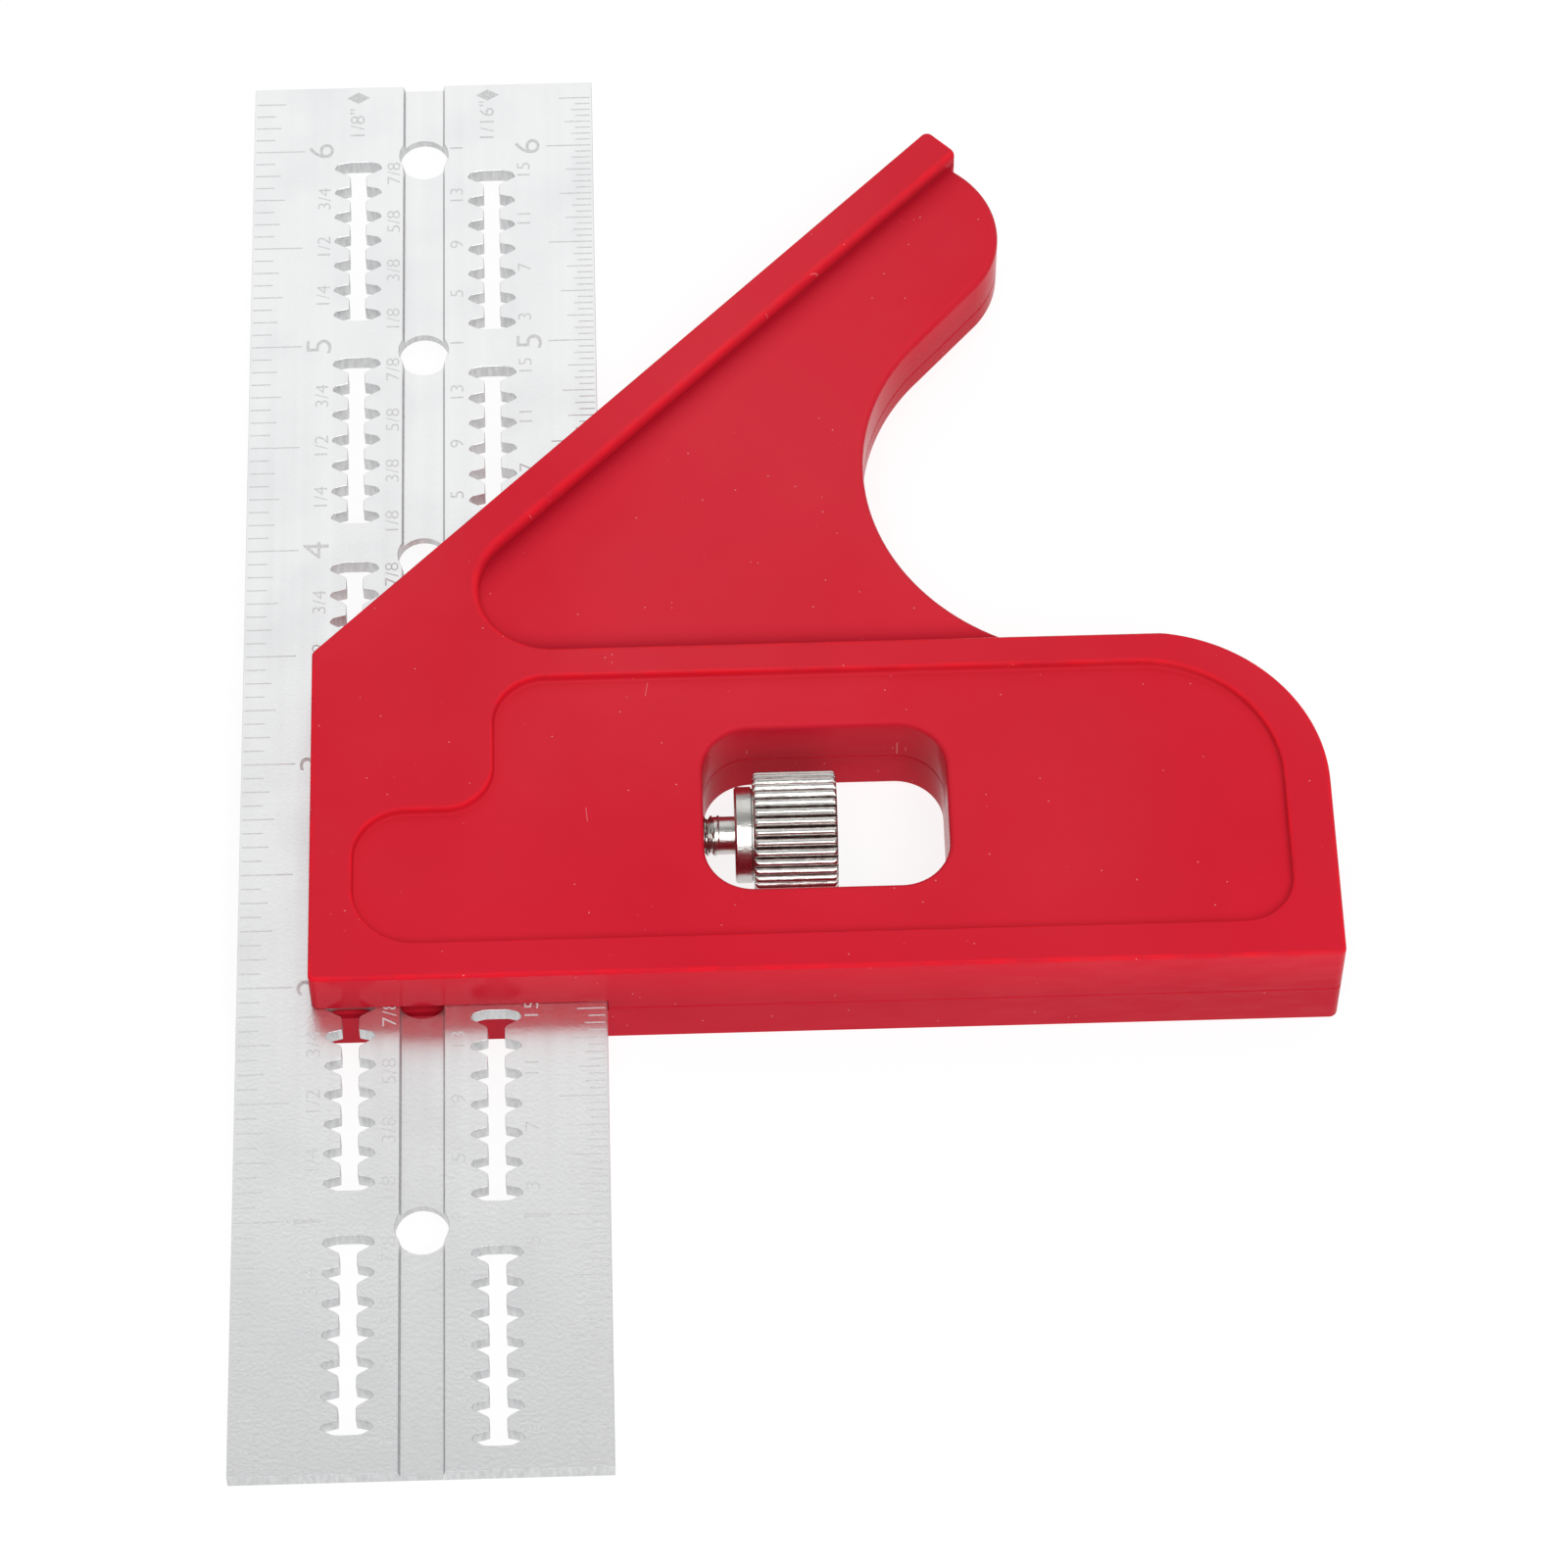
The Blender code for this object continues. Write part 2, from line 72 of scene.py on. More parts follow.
RULER_WIDTH = ruler_high.x
RULER_FOOT = ruler_low.y
RULER_TOP = ruler_high.y
RULER_THICKNESS = -ruler_low.z
HEAD_LEFT = upper_low.x
HEAD_RIGHT = upper_high.x
HEAD_FRONT = upper_low.y
HEAD_TOP = upper_high.z
HEAD_BOTTOM = lower_low.z
SEAM = (upper_low.z + lower_high.z) / 2
BARREL_END = screw_high.x
CLAMP_Y = (screw_low.y + screw_high.y) / 2
CLAMP_Z = (screw_low.z + screw_high.z) / 2

# ---------------------------------------------------------------- sizes the CAD shares

# Ruler
GROOVE_CENTRE = 17.8
GROOVE_WIDTH = 4.35
GROOVE_SLOPE = 0.2
GROOVE_DEPTH = 0.85
HOLE_RADIUS = 2.55
HOLE_BELOW_INCH = 0.85
INCH_COUNT = 6
SLOT_COLUMNS = ((10.95, 0.79), (24.86, -0.7))
LOBE_COUNT = 7
LOBE_PITCH = INCH / 8
NECK_HALF_WIDTH = 0.82
# A lobe's right side, upwards, as (x, y from the tip, corner radius)
LOBE_NEAR_FLANK = ((NECK_HALF_WIDTH, -1.08, 0.5), (2.5, -0.12, 0.22))
LOBE_FAR_FLANK = ((2.12, 0.42, 0.5), (NECK_HALF_WIDTH, 0.74, 0.12))
LOBE_NEAR_END = ((1.3, -0.8, 1.2), (2.5, -0.12, 0.22))
LOBE_FAR_END = ((2.15, 0.49, 0.5), (1.15, 0.78, 2.0))

# Head outline
ARM_BACK = 85.7
ARM_CORNER_RADIUS = 17.7
MITER_OFFSET = 78.6
WING_TIP_SUM = 219.4
WING_TIP_STEP = 0.5
EDGE_RADIUS = 0.8
TIP_RADIUS = 1.0
NOTCH_CENTRE = (85.2, 107.4)
NOTCH_RADIUS = 22.95
NOTCH_END = 136
NOSE_CENTRE = (66.9, 136.8)
NOSE_RADIUS = 10.35
NOSE_START = -44
NOSE_END = 53

# Head heights and recesses
PANEL_TOP = 4.5
PANEL_BOTTOM = -6.5
WING_TOP = 3.7
WING_BOTTOM = -3.7
WING_RIM_OFFSET = 72.6
WING_POCKET_RADIUS = 7.4
PANEL_CORNERS = (
    (11.3, 52.3, 6.2),
    (101.6, 52.3, 5.0),
    (101.6, 82.2, 13.5),
    (24.9, 82.2, 5.2),
    (24.9, 67.2, 4.8),
    (11.3, 67.2, 5.2),
)
WINDOW = (45.2, 68.9, 58.0, 76.2)
WINDOW_RADIUS = 4.8
RULER_PLAY = 0.1
SLOT_END = 35.58
RIB_WIDTH = 3.7
RIB_DEPTH = 0.7
RIB_INSET = 0.6
HOLLOW = (73.4, 98.4, 55.6, 78.6)
HOLLOW_RADII = (2.0, 3.0, 10.0, 2.0)
HOLLOW_TOP = 2.5
HOLLOW_BOTTOM = -4.5
RIB_THICKNESS = 1.6
BOSS_RADIUS = 4.0

# Clamp
THREAD_RADIUS = 2.0
THREAD_PITCH = 0.7
THREAD_DEPTH = 0.38
SCREW_TIP = 37.5
NECK_START = 46.7
SHOULDER_START = 48.2
BARREL_START = 50.0
NECK_RADIUS = 1.85
SHOULDER_RADIUS = 4.7
BARREL_RADIUS = 6.15
BARREL_CHAMFER = 0.5
KNURL_TEETH = 36
KNURL_DEPTH = 0.55
DOG_RADIUS = 1.2
PAD_BORE_RADIUS = 2.7
NUT_START = 40.7
NUT_THICKNESS = 2.2
NUT_WIDTH = 7.0
NUT_CLEARANCE = 0.3
SCREW_BORE_RADIUS = 2.35

# Shell screws: name, x, y, the face their heads sit in, length
SHELL_SCREWS = (
    ("shell_screw_1", 40.9, 56.4, PANEL_BOTTOM, 8.5),
    ("shell_screw_2", 40.9, 77.8, PANEL_BOTTOM, 8.5),
    ("shell_screw_3", 86.0, 67.1, PANEL_BOTTOM, 8.5),
    ("shell_screw_4", 49.0, 103.0, WING_BOTTOM, 5.0),
    ("shell_screw_5", 68.0, 134.0, WING_BOTTOM, 5.0),
)
SHELL_SCREW_RADIUS = 1.4
SHELL_SCREW_HEAD_RADIUS = 2.5
SHELL_SCREW_HEAD_HEIGHT = 1.1
SHELL_SCREW_RECESS = 0.2
SHELL_HOLE_RADIUS = 1.6
DRIVE_WIDTH = 0.7
DRIVE_LENGTH = 2.6
DRIVE_DEPTH = 0.6

# ---------------------------------------------------------------- sizes of the fine surface

VISIBLE_SEAM = 0.12
SEAM_ROUNDING = 0.1
SEAM_STEPS = 2
RIM_ROUNDING = 0.45
OUTER_ROUNDING = 0.75
UNDERSIDE_ROUNDING = 0.2
WING_WALL_ROUNDING = 0.8
WINDOW_ROUNDING = 0.6
FLOOR_FILLET = 0.32
WING_FILLET = 0.08
PANEL_ROUNDING = 0.35
RULER_CHAMFER = 0.03
PUNCH_OVERCUT = 0.1
TANGENT_CLEARANCE = 0.003
WALL_STEP = 0.01
MARK_REACH = 0.05
STEEPEST_ROUNDED = 0.15
FLATTEST_ROUNDED = 0.98
HIGHLIGHT_SHARE = 0.9
WING_SHADE_REACH = 3.6
WING_FLOOR_MARGIN = 0.2
FRONT_WALL_MARGIN = 0.5
CHORD = 0.35
FINEST_STEP = math.radians(2.5)
COARSEST_STEP = math.radians(11)
OVERCUT = 1.0
WELD = 0.000001
FACE_AREA_WEIGHT = 80


# ---------------------------------------------------------------- outlines


def arc(centre, radius, start, end):
    """Points from angle start to angle end, in degrees, both included."""
    sweep = math.radians(end - start)
    step = min(max(CHORD / radius, FINEST_STEP), COARSEST_STEP)
    count = max(2, math.ceil(abs(sweep) / step))
    points = []
    for index in range(count + 1):
        angle = math.radians(start) + sweep * index / count
        points.append((centre[0] + radius * math.cos(angle), centre[1] + radius * math.sin(angle)))
    return points


def rounded(corners):
    """A closed outline through (x, y, radius) corners, each rounded to its radius."""
    points = []
    for index, (x, y, radius) in enumerate(corners):
        corner = Vector((x, y))
        if radius == 0:
            points.append((x, y))
            continue
        before = (Vector(corners[index - 1][:2]) - corner).normalized()
        after = (Vector(corners[(index + 1) % len(corners)][:2]) - corner).normalized()
        half = before.angle(after) / 2
        centre = corner + (before + after).normalized() * (radius / math.sin(half))
        start = corner + before * (radius / math.tan(half)) - centre
        end = corner + after * (radius / math.tan(half)) - centre
        sweep = math.atan2(start.x * end.y - start.y * end.x, start.dot(end))
        first = math.degrees(math.atan2(start.y, start.x))
        points += arc(centre, radius, first, first + math.degrees(sweep))
    return points


def plain(points):
    """Corners with no rounding, for an outline that mixes arcs and rounded corners."""
    return [(x, y, 0) for x, y in points]


def circle(centre, radius):
    return arc(centre, radius, 0, 360)[:-1]


def box_outline(left, right, front, back, radius=0):
    corners = [(left, front), (right, front), (right, back), (left, back)]
    return rounded([(x, y, radius) for x, y in corners])


def angle_at_height(centre, radius, y):
    """The angle, in degrees, where the lower left quarter of a circle crosses a height."""
    return 180 + math.degrees(math.asin((centre[1] - y) / radius))


def head_outline():
    """Right arm, hand notch, rounded nose and the 45 degree edge, anticlockwise from front left."""
    tip_outer_x = (WING_TIP_SUM - MITER_OFFSET) / 2
    tip_inner_x = (WING_TIP_SUM - WING_RIM_OFFSET - WING_TIP_STEP) / 2
    notch_start = angle_at_height(NOTCH_CENTRE, NOTCH_RADIUS, ARM_BACK)
    return rounded([
        (HEAD_LEFT, HEAD_FRONT, EDGE_RADIUS),
        (HEAD_RIGHT, HEAD_FRONT, EDGE_RADIUS),
        (HEAD_RIGHT, ARM_BACK, ARM_CORNER_RADIUS),
        *plain(arc(NOTCH_CENTRE, NOTCH_RADIUS, notch_start, NOTCH_END)),
        *plain(arc(NOSE_CENTRE, NOSE_RADIUS, NOSE_START, NOSE_END)),
        (tip_inner_x, tip_inner_x + WING_RIM_OFFSET + WING_TIP_STEP, TIP_RADIUS),
        (tip_outer_x, tip_outer_x + MITER_OFFSET, EDGE_RADIUS),
        (HEAD_LEFT, HEAD_LEFT + MITER_OFFSET, EDGE_RADIUS),
    ])


def wing_recess_outline():
    """Everything inside the 45 degree rim and behind the right arm, open to the notch and nose."""
    far = HEAD_RIGHT + OVERCUT
    return rounded([
        (ARM_BACK - WING_RIM_OFFSET, ARM_BACK, WING_POCKET_RADIUS),
        (far, ARM_BACK, 0),
        (far, far + WING_RIM_OFFSET, 0),
    ])


def toothed_slot_outline(centre_x, first_y):
    """Seven pointed lobes on one neck: up the right side and down the left one."""
    right = []
    for index in range(LOBE_COUNT):
        near = LOBE_NEAR_FLANK if index > 0 else LOBE_NEAR_END
        far = LOBE_FAR_FLANK if index < LOBE_COUNT - 1 else LOBE_FAR_END
        right += [(x, y + index * LOBE_PITCH, radius) for x, y, radius in near + far]
    left = [(-x, y, radius) for x, y, radius in reversed(right)]
    return rounded([(centre_x + x, first_y + y, radius) for x, y, radius in right + left])


# ---------------------------------------------------------------- solids


def new_object(name, mesh):
    item = bpy.data.objects.new(name, mesh)
    bpy.context.scene.collection.objects.link(item)
    item.location = ORIGIN
    return item


def evaluated_mesh(item):
    bpy.context.view_layer.update()
    return bpy.data.meshes.new_from_object(item.evaluated_get(bpy.context.evaluated_depsgraph_get()))


def remove(item):
    bpy.data.objects.remove(item, do_unlink=True)


def slab(name, outlines, low, high):
    """A flat solid from one outline, with any further outlines as through holes."""
    curve = bpy.data.curves.new(name, "CURVE")
    curve.dimensions = "2D"
    curve.fill_mode = "BOTH"
    curve.extrude = (high - low) / 2 * MM
    for outline in outlines:
        spline = curve.splines.new("POLY")
        spline.points.add(len(outline) - 1)
        for point, (x, y) in zip(spline.points, outline):
            point.co = (x * MM, y * MM, 0, 1)
        spline.use_cyclic_u = True
    source = new_object(name + "_curve", curve)
    mesh = evaluated_mesh(source)
    remove(source)
    cage = bmesh.new()
    cage.from_mesh(mesh)
    bmesh.ops.remove_doubles(cage, verts=cage.verts, dist=WELD)
    bmesh.ops.recalc_face_normals(cage, faces=cage.faces)
    bmesh.ops.translate(cage, verts=cage.verts, vec=(0, 0, (low + high) / 2 * MM))
    cage.to_mesh(mesh)
    cage.free()
    return new_object(name, mesh)


def inset(outline, distance):
    """An anticlockwise outline moved inwards, or outwards where the distance is negative.

    A sharp corner's miter is held to twice the distance.
    """
    moved = []
    for index, point in enumerate(outline):
        here = Vector(point)
        before = (here - Vector(outline[index - 1])).normalized()
        after = (Vector(outline[(index + 1) % len(outline)]) - here).normalized()
        across = Vector((-before.y, before.x))
        miter = (across + Vector((-after.y, after.x))).normalized()
        moved.append(here + miter * (distance / max(0.5, miter.dot(across))))
    return moved


def rounding(edge, radius, towards, outwards, steps=5):
    """A quarter round as (height, inset) pairs, from the wall to a face at the edge's height.

    towards is the way from the wall to the face, 1 up or -1 down. A solid's edge is drawn in as it
    nears the face, and a cutter's flares outwards.
    """
    sign = -1 if outwards else 1
    pairs = []
    for step in range(steps + 1):
        angle = math.pi / 2 * step / steps
        height = edge - towards * radius * (1 - math.sin(angle))
        pairs.append((height, sign * radius * (1 - math.cos(angle))))
    return pairs


def moulded(name, outline, profile):
    """A solid whose outline is inset by a different amount at each height: (height, inset) pairs."""
    rings = []
    for height, amount in sorted(profile, key=lambda pair: pair[0]):
        rings.append([(*point, height) for point in inset(outline, amount)])
    return loft(name, rings)


def loft(name, rings):
    """A closed solid through rings of equally many points, in millimetres, with flat ends."""
    cage = bmesh.new()
    loops = [[cage.verts.new(Vector(point) * MM) for point in ring] for ring in rings]
    count = len(loops[0])
    for first, second in zip(loops, loops[1:]):
        for index in range(count):
            after = (index + 1) % count
            cage.faces.new((first[index], first[after], second[after], second[index]))
    cage.faces.new(loops[0])
    cage.faces.new(loops[-1])
    bmesh.ops.recalc_face_normals(cage, faces=cage.faces)
    mesh = bpy.data.meshes.new(name)
    cage.to_mesh(mesh)
    cage.free()
    return new_object(name, mesh)


def turned(name, profile, place, steps=48):
    """A solid turned from (along, radius) points; place turns (along, u, v) into a point."""
    angles = [2 * math.pi * step / steps for step in range(steps)]
    rings = []
    for along, radius in profile:
        rings.append([place(along, radius * math.cos(a), radius * math.sin(a)) for a in angles])
    return loft(name, rings)


def on_clamp_axis(along, u, v):
    return along, CLAMP_Y + u, CLAMP_Z + v


def upright_at(x, y):
    """Turns (along, u, v) into a point on an upright axis."""
    return lambda along, u, v: (x + u, y + v, along)


def combine(item, other, operation):
    step = item.modifiers.new(other.name, "BOOLEAN")
    step.operation = operation
    step.object = other
    step.solver = "EXACT"


def settle(item, helpers):
    """Fix an item's modifiers in its mesh and remove the helpers that it was cut or joined with."""
    mesh = evaluated_mesh(item)
    item.modifiers.clear()
    item.data = mesh
    for helper in helpers:
        remove(helper)
    return item


def cut_all(item, cutters):
    for cutter in cutters:
        combine(item, cutter, "DIFFERENCE")
    return item


def smooth(item, angle=30):
    """Smooth shading with sharp creases and flat faces kept flat."""
    item.data.shade_smooth()
    item.data.set_sharp_from_angle(angle=math.radians(angle))
    weighted = item.modifiers.new("flat_faces_stay_flat", "WEIGHTED_NORMAL")
    weighted.keep_sharp = True
    weighted.weight = FACE_AREA_WEIGHT
    return item


def dress(item, material, body, slot_name, *nodes):
    """Give a piece its material and its body, and let it stand for CAD nodes. slot_name is not used."""
    item.data.materials.clear()
    item.data.materials.append(material)
    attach(item, body)
    if nodes:
        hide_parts(*nodes)
    return item


# ---------------------------------------------------------------- material helpers


class Shader:
    """A Principled material whose nodes are added by short calls."""

    def __init__(self, name, colour, roughness, metallic=0.0):
        self.material = bpy.data.materials.new(name)
        self.material.use_nodes = True
        self.tree = self.material.node_tree
        self.surface = self.tree.nodes["Principled BSDF"]
        self.set(self.surface, "Base Color", (*colour, 1.0))
        self.set(self.surface, "Roughness", roughness)
        self.set(self.surface, "Metallic", metallic)
        self.place = self.node("ShaderNodeTexCoord").outputs["Object"]

    def node(self, kind, **settings):
        node = self.tree.nodes.new(kind)
        for name, value in settings.items():
            setattr(node, name, value)
        return node

    def feed(self, socket, value):
        """Link a value into a socket, or set it as a constant."""
        if isinstance(value, bpy.types.NodeSocket):
            self.tree.links.new(value, socket)
        else:
            socket.default_value = value

    def set(self, node, socket_name, value):
        self.feed(node.inputs[socket_name], value)

    def stretched(self, scale):
        """The place multiplied by a scale along each axis."""
        mapping = self.node("ShaderNodeMapping")
        self.set(mapping, "Vector", self.place)
        self.set(mapping, "Scale", scale)
        return mapping.outputs["Vector"]

    def noise(self, scale, detail=3.0, vector=None):
        """Noise with features 1 / scale metres across."""
        node = self.node("ShaderNodeTexNoise")
        self.set(node, "Vector", vector or self.place)
        self.set(node, "Scale", scale)
        self.set(node, "Detail", detail)
        return node.outputs["Fac"]

    def streaks(self, scales, detail=3.0):
        """Noise whose features are 1 / scale metres long along each axis."""
        return self.noise(1, detail, self.stretched(scales))

    def ramp(self, value, low, high, from_value=0.0, to_value=1.0):
        """Map a range of values to another, held at both ends."""
        node = self.node("ShaderNodeMapRange", clamp=True)
        self.set(node, "Value", value)
        sockets = ("From Min", "From Max", "To Min", "To Max")
        for socket_name, number in zip(sockets, (low, high, from_value, to_value)):
            self.set(node, socket_name, number)
        return node.outputs["Result"]

    def math(self, operation, first, second=0.0):
        node = self.node("ShaderNodeMath", operation=operation)
        for socket, value in zip(node.inputs, (first, second)):
            self.feed(socket, value)
        return node.outputs["Value"]

    def chain(self, operation, first, *others):
        """One operation over several values, from the first on."""
        result = first
        for other in others:
            result = self.math(operation, result, other)
        return result

    def product(self, *values):
        return self.chain("MULTIPLY", *values)

    def total(self, *values):
        return self.chain("ADD", *values)

    def largest(self, *values):
        return self.chain("MAXIMUM", *values)

    def rest_of(self, share):
        """1 minus a share."""
        return self.math("SUBTRACT", 1.0, share)

    def mix(self, factor, first, second):
        """Mix two colours by a factor."""
        node = self.node("ShaderNodeMix", data_type="RGBA")
        self.set(node, "Factor", factor)
        colour_sockets = [socket for socket in node.inputs if socket.type == "RGBA"]
        for socket, value in zip(colour_sockets, (first, second)):
            self.feed(socket, value if isinstance(value, bpy.types.NodeSocket) else (*value, 1.0))
        return next(socket for socket in node.outputs if socket.type == "RGBA")

    def bump(self, height, distance, strength=1.0, normal=None):
        """A bump whose full height is a distance in millimetres."""
        node = self.node("ShaderNodeBump")
        self.set(node, "Height", height)
        self.set(node, "Distance", distance * MM)
        self.set(node, "Strength", strength)
        if normal:
            self.set(node, "Normal", normal)
        return node.outputs["Normal"]

    def attribute(self, name):
        """A mark that the mesh's vertices carry."""
        return self.node("ShaderNodeAttribute", attribute_name=name).outputs["Fac"]

    def parts(self, vector):
        """A vector's or colour's three parts."""
        node = self.node("ShaderNodeSeparateXYZ")
        self.set(node, "Vector", vector)
        return node.outputs

    def upright_share(self):
        """1 on walls, 0 on faces that lie flat."""
        height = self.parts(self.node("ShaderNodeTexCoord").outputs["Normal"])["Z"]
        return self.ramp(self.math("ABSOLUTE", height), 0.55, 0.9, 1.0, 0.0)

    def vector_math(self, operation, *vectors):
        node = self.node("ShaderNodeVectorMath", operation=operation)
        for socket, vector in zip(node.inputs, vectors):
            self.feed(socket, vector)
        return node.outputs["Value" if operation == "LENGTH" else "Vector"]

    def from_clamp_axis(self):
        """How far a point is from the clamp screw's axis, in metres."""
        moved = self.vector_math("SUBTRACT", self.place, (0, CLAMP_Y * MM, CLAMP_Z * MM))
        return self.vector_math("LENGTH", self.vector_math("MULTIPLY", moved, (0, 1, 1)))

    def wing_corner(self):
        """Painted shade: 1 at the foot of the walls round the wing's floor, fading up them and out over the
        floor.
        """
        at = self.parts(self.place)
        across = self.math("SUBTRACT", self.total(at["X"], WING_RIM_OFFSET * MM), at["Y"])
        from_rim = self.product(across, math.sqrt(0.5))
        from_arm = self.math("SUBTRACT", at["Y"], ARM_BACK * MM)
        from_wall = self.math("MINIMUM", from_rim, from_arm)
        near = self.ramp(from_wall, 0.0, WING_SHADE_REACH * MM, 1.0, 0.0)
        inside = self.math("GREATER_THAN", from_wall, -WING_WALL_ROUNDING * MM)
        foot = (WING_TOP + WING_FLOOR_MARGIN) * MM
        low = self.ramp(at["Z"], foot, (HEAD_TOP - WING_WALL_ROUNDING) * MM, 1.0, 0.0)
        upper = self.math("GREATER_THAN", at["Z"], (WING_TOP - WING_FLOOR_MARGIN) * MM)
        return self.product(inside, upper, near, near, low)

    def under_ruler(self):
        """Painted shadow: 1 on the front wall under the ruler, which is seen through the slots."""
        at = self.parts(self.place)
        below = self.math("LESS_THAN", at["Z"], -RULER_THICKNESS * MM)
        beside = self.math("LESS_THAN", at["X"], RULER_WIDTH * MM)
        in_front = self.math("LESS_THAN", at["Y"], (HEAD_FRONT + FRONT_WALL_MARGIN) * MM)
        return self.product(below, beside, in_front)

    def cells(self, scale):
        """Voronoi cells: how far the nearest centre is, where it is, and three random numbers."""
        node = self.node("ShaderNodeTexVoronoi")
        self.set(node, "Vector", self.place)
        self.set(node, "Scale", scale)
        return node.outputs["Distance"], node.outputs["Position"], self.parts(node.outputs["Color"])

    def specks(self, scale, radius, share):
        """Round specks in a share of the cells; the radius is in cells."""
        distance, _, chance = self.cells(scale)
        dot = self.ramp(distance, radius * 0.6, radius, 1.0, 0.0)
        return self.product(dot, self.ramp(chance["X"], 1 - share, 1.01 - share))

    def scratches(self, scale, length, width, share):
        """Short straight lines, each turned its own way, in a share of the cells."""
        _, centre, chance = self.cells(scale)
        turn = self.node("ShaderNodeVectorRotate", rotation_type="Z_AXIS")
        self.set(turn, "Vector", self.vector_math("SUBTRACT", self.place, centre))
        self.set(turn, "Angle", self.product(chance["X"], math.pi * 2))
        along = self.parts(turn.outputs["Vector"])
        reach = self.product(chance["Y"], length / scale)
        depth = self.product(self.math("ABSOLUTE", along["Z"]), 2.0)
        length_or_depth = self.largest(self.math("ABSOLUTE", along["X"]), depth)
        inside = self.math("LESS_THAN", length_or_depth, reach)
        across = self.math("ABSOLUTE", along["Y"])
        thin = self.ramp(across, width * 0.5 / scale, width / scale, 1.0, 0.0)
        some = self.math("LESS_THAN", chance["Z"], share)
        return self.product(inside, thin, some)


# ---------------------------------------------------------------- materials


RED_BODY = ((0.65, 0.0125, 0.030), (0.685, 0.0145, 0.034))
RED_IN_SHADE = (0.22, 0.002, 0.012)
RED_EDGE_HIGHLIGHT = (0.86, 0.010, 0.024)
RED_DUST_AND_SHEEN = (0.90, 0.50, 0.50)
RULER_FACE = ((0.865, 0.87, 0.875), (0.825, 0.83, 0.84))
RULER_WALL_IN_SHADE = ((0.54, 0.545, 0.55), (0.70, 0.705, 0.71))
RULER_SCRATCH = (0.95, 0.95, 0.95)
ETCHED = ((0.60, 0.605, 0.61), (0.74, 0.745, 0.75))
NICKEL_PLATE = ((0.68, 0.67, 0.645), (0.52, 0.51, 0.485))
NICKEL_GROOVE_SHADE = (0.17, 0.10, 0.095)


def shaded_share(shade, walls):
    """How much painted shade darkens the red: in the window, round the wing, under the ruler and low on the
    walls.
    """
    height = shade.parts(shade.place)["Z"]
    # Painted shade: walls darken from the top down to the seam and stay darkest below it.
    low_wall_shade = shade.product(walls, shade.ramp(height, SEAM * MM, HEAD_TOP * MM, 0.75, 0.0))
    in_window = shade.attribute("window_shade")
    return shade.largest(in_window, shade.wing_corner(), shade.under_ruler(), low_wall_shade)


def dust_share(shade, walls, darker):
    """A pale film on the flat faces, partly dust and partly a painted sheen, thinner near the front, and
    patches on the walls, fewer at the left.
    """
    at = shade.parts(shade.place)
    from_front = shade.ramp(at["Y"], HEAD_FRONT * MM, ARM_BACK * MM, 0.35, 1.0)
    film = shade.ramp(shade.noise(28, detail=5), 0.35, 0.65, 0.012, 0.04)
    on_faces = shade.product(shade.rest_of(walls), shade.rest_of(darker), from_front, film)
    patches = shade.ramp(shade.streaks((240, 240, 900)), 0.35, 0.65, 0.01, 0.03)
    from_left = shade.ramp(at["X"], RULER_WIDTH * MM, HEAD_RIGHT * MM, 0.2, 1.0)
    return shade.total(on_faces, shade.product(patches, from_left, walls))


def red_plastic():
    """Moulded red plastic: a soft sheen, dust specks, short scratches, a pale film of dust and painted
    sheen, painted highlights on the rounded edges and painted shade.
    """
    shade = Shader("red_plastic", RED_BODY[0], 0.36)
    shade.set(shade.surface, "Specular IOR Level", 0.035)
    shade.set(shade.surface, "Specular Tint", (1.0, 0.35, 0.4, 1.0))
    walls = shade.upright_share()
    darker = shaded_share(shade, walls)
    colour = shade.mix(shade.ramp(shade.noise(60, detail=4), 0.3, 0.7), *RED_BODY)
    # Painted shade: the red darkens towards RED_IN_SHADE by the share that shaded_share gives.
    colour = shade.mix(shade.product(darker, 0.5), colour, RED_IN_SHADE)
    # Painted highlight: the rounded rim edges brighten towards RED_EDGE_HIGHLIGHT, broken up by noise.
    edge_highlight = shade.product(shade.attribute("rim_highlight"), shade.ramp(shade.noise(420, detail=4), 0.3, 0.6))
    colour = shade.mix(shade.product(edge_highlight, 0.7), colour, RED_EDGE_HIGHLIGHT)
    # Dust and a painted sheen: a pale pink film, mostly on the flat faces.
    colour = shade.mix(dust_share(shade, walls, darker), colour, RED_DUST_AND_SHEEN)
    specks = shade.specks(scale=1500, radius=0.13, share=0.055)
    long_scratches = shade.scratches(scale=130, length=0.30, width=0.010, share=0.16)
    short_scratches = shade.scratches(scale=420, length=0.34, width=0.022, share=0.10)
    scratches = shade.largest(long_scratches, short_scratches)
    pale = shade.largest(shade.product(specks, 0.5), shade.product(scratches, 0.25))
    shade.set(shade.surface, "Base Color", shade.mix(pale, colour, RED_DUST_AND_SHEEN))

    rough = shade.ramp(shade.noise(240, detail=5), 0.3, 0.7, 0.31, 0.40)
    rough = shade.math("SUBTRACT", rough, shade.product(walls, 0.14))
    shade.set(shade.surface, "Roughness", shade.total(rough, shade.product(scratches, 0.2)))
    grain = shade.bump(shade.noise(2600, detail=2), 0.004, 0.5)
    shade.set(shade.surface, "Normal", shade.bump(specks, 0.02, 0.5, grain))
    return shade.material


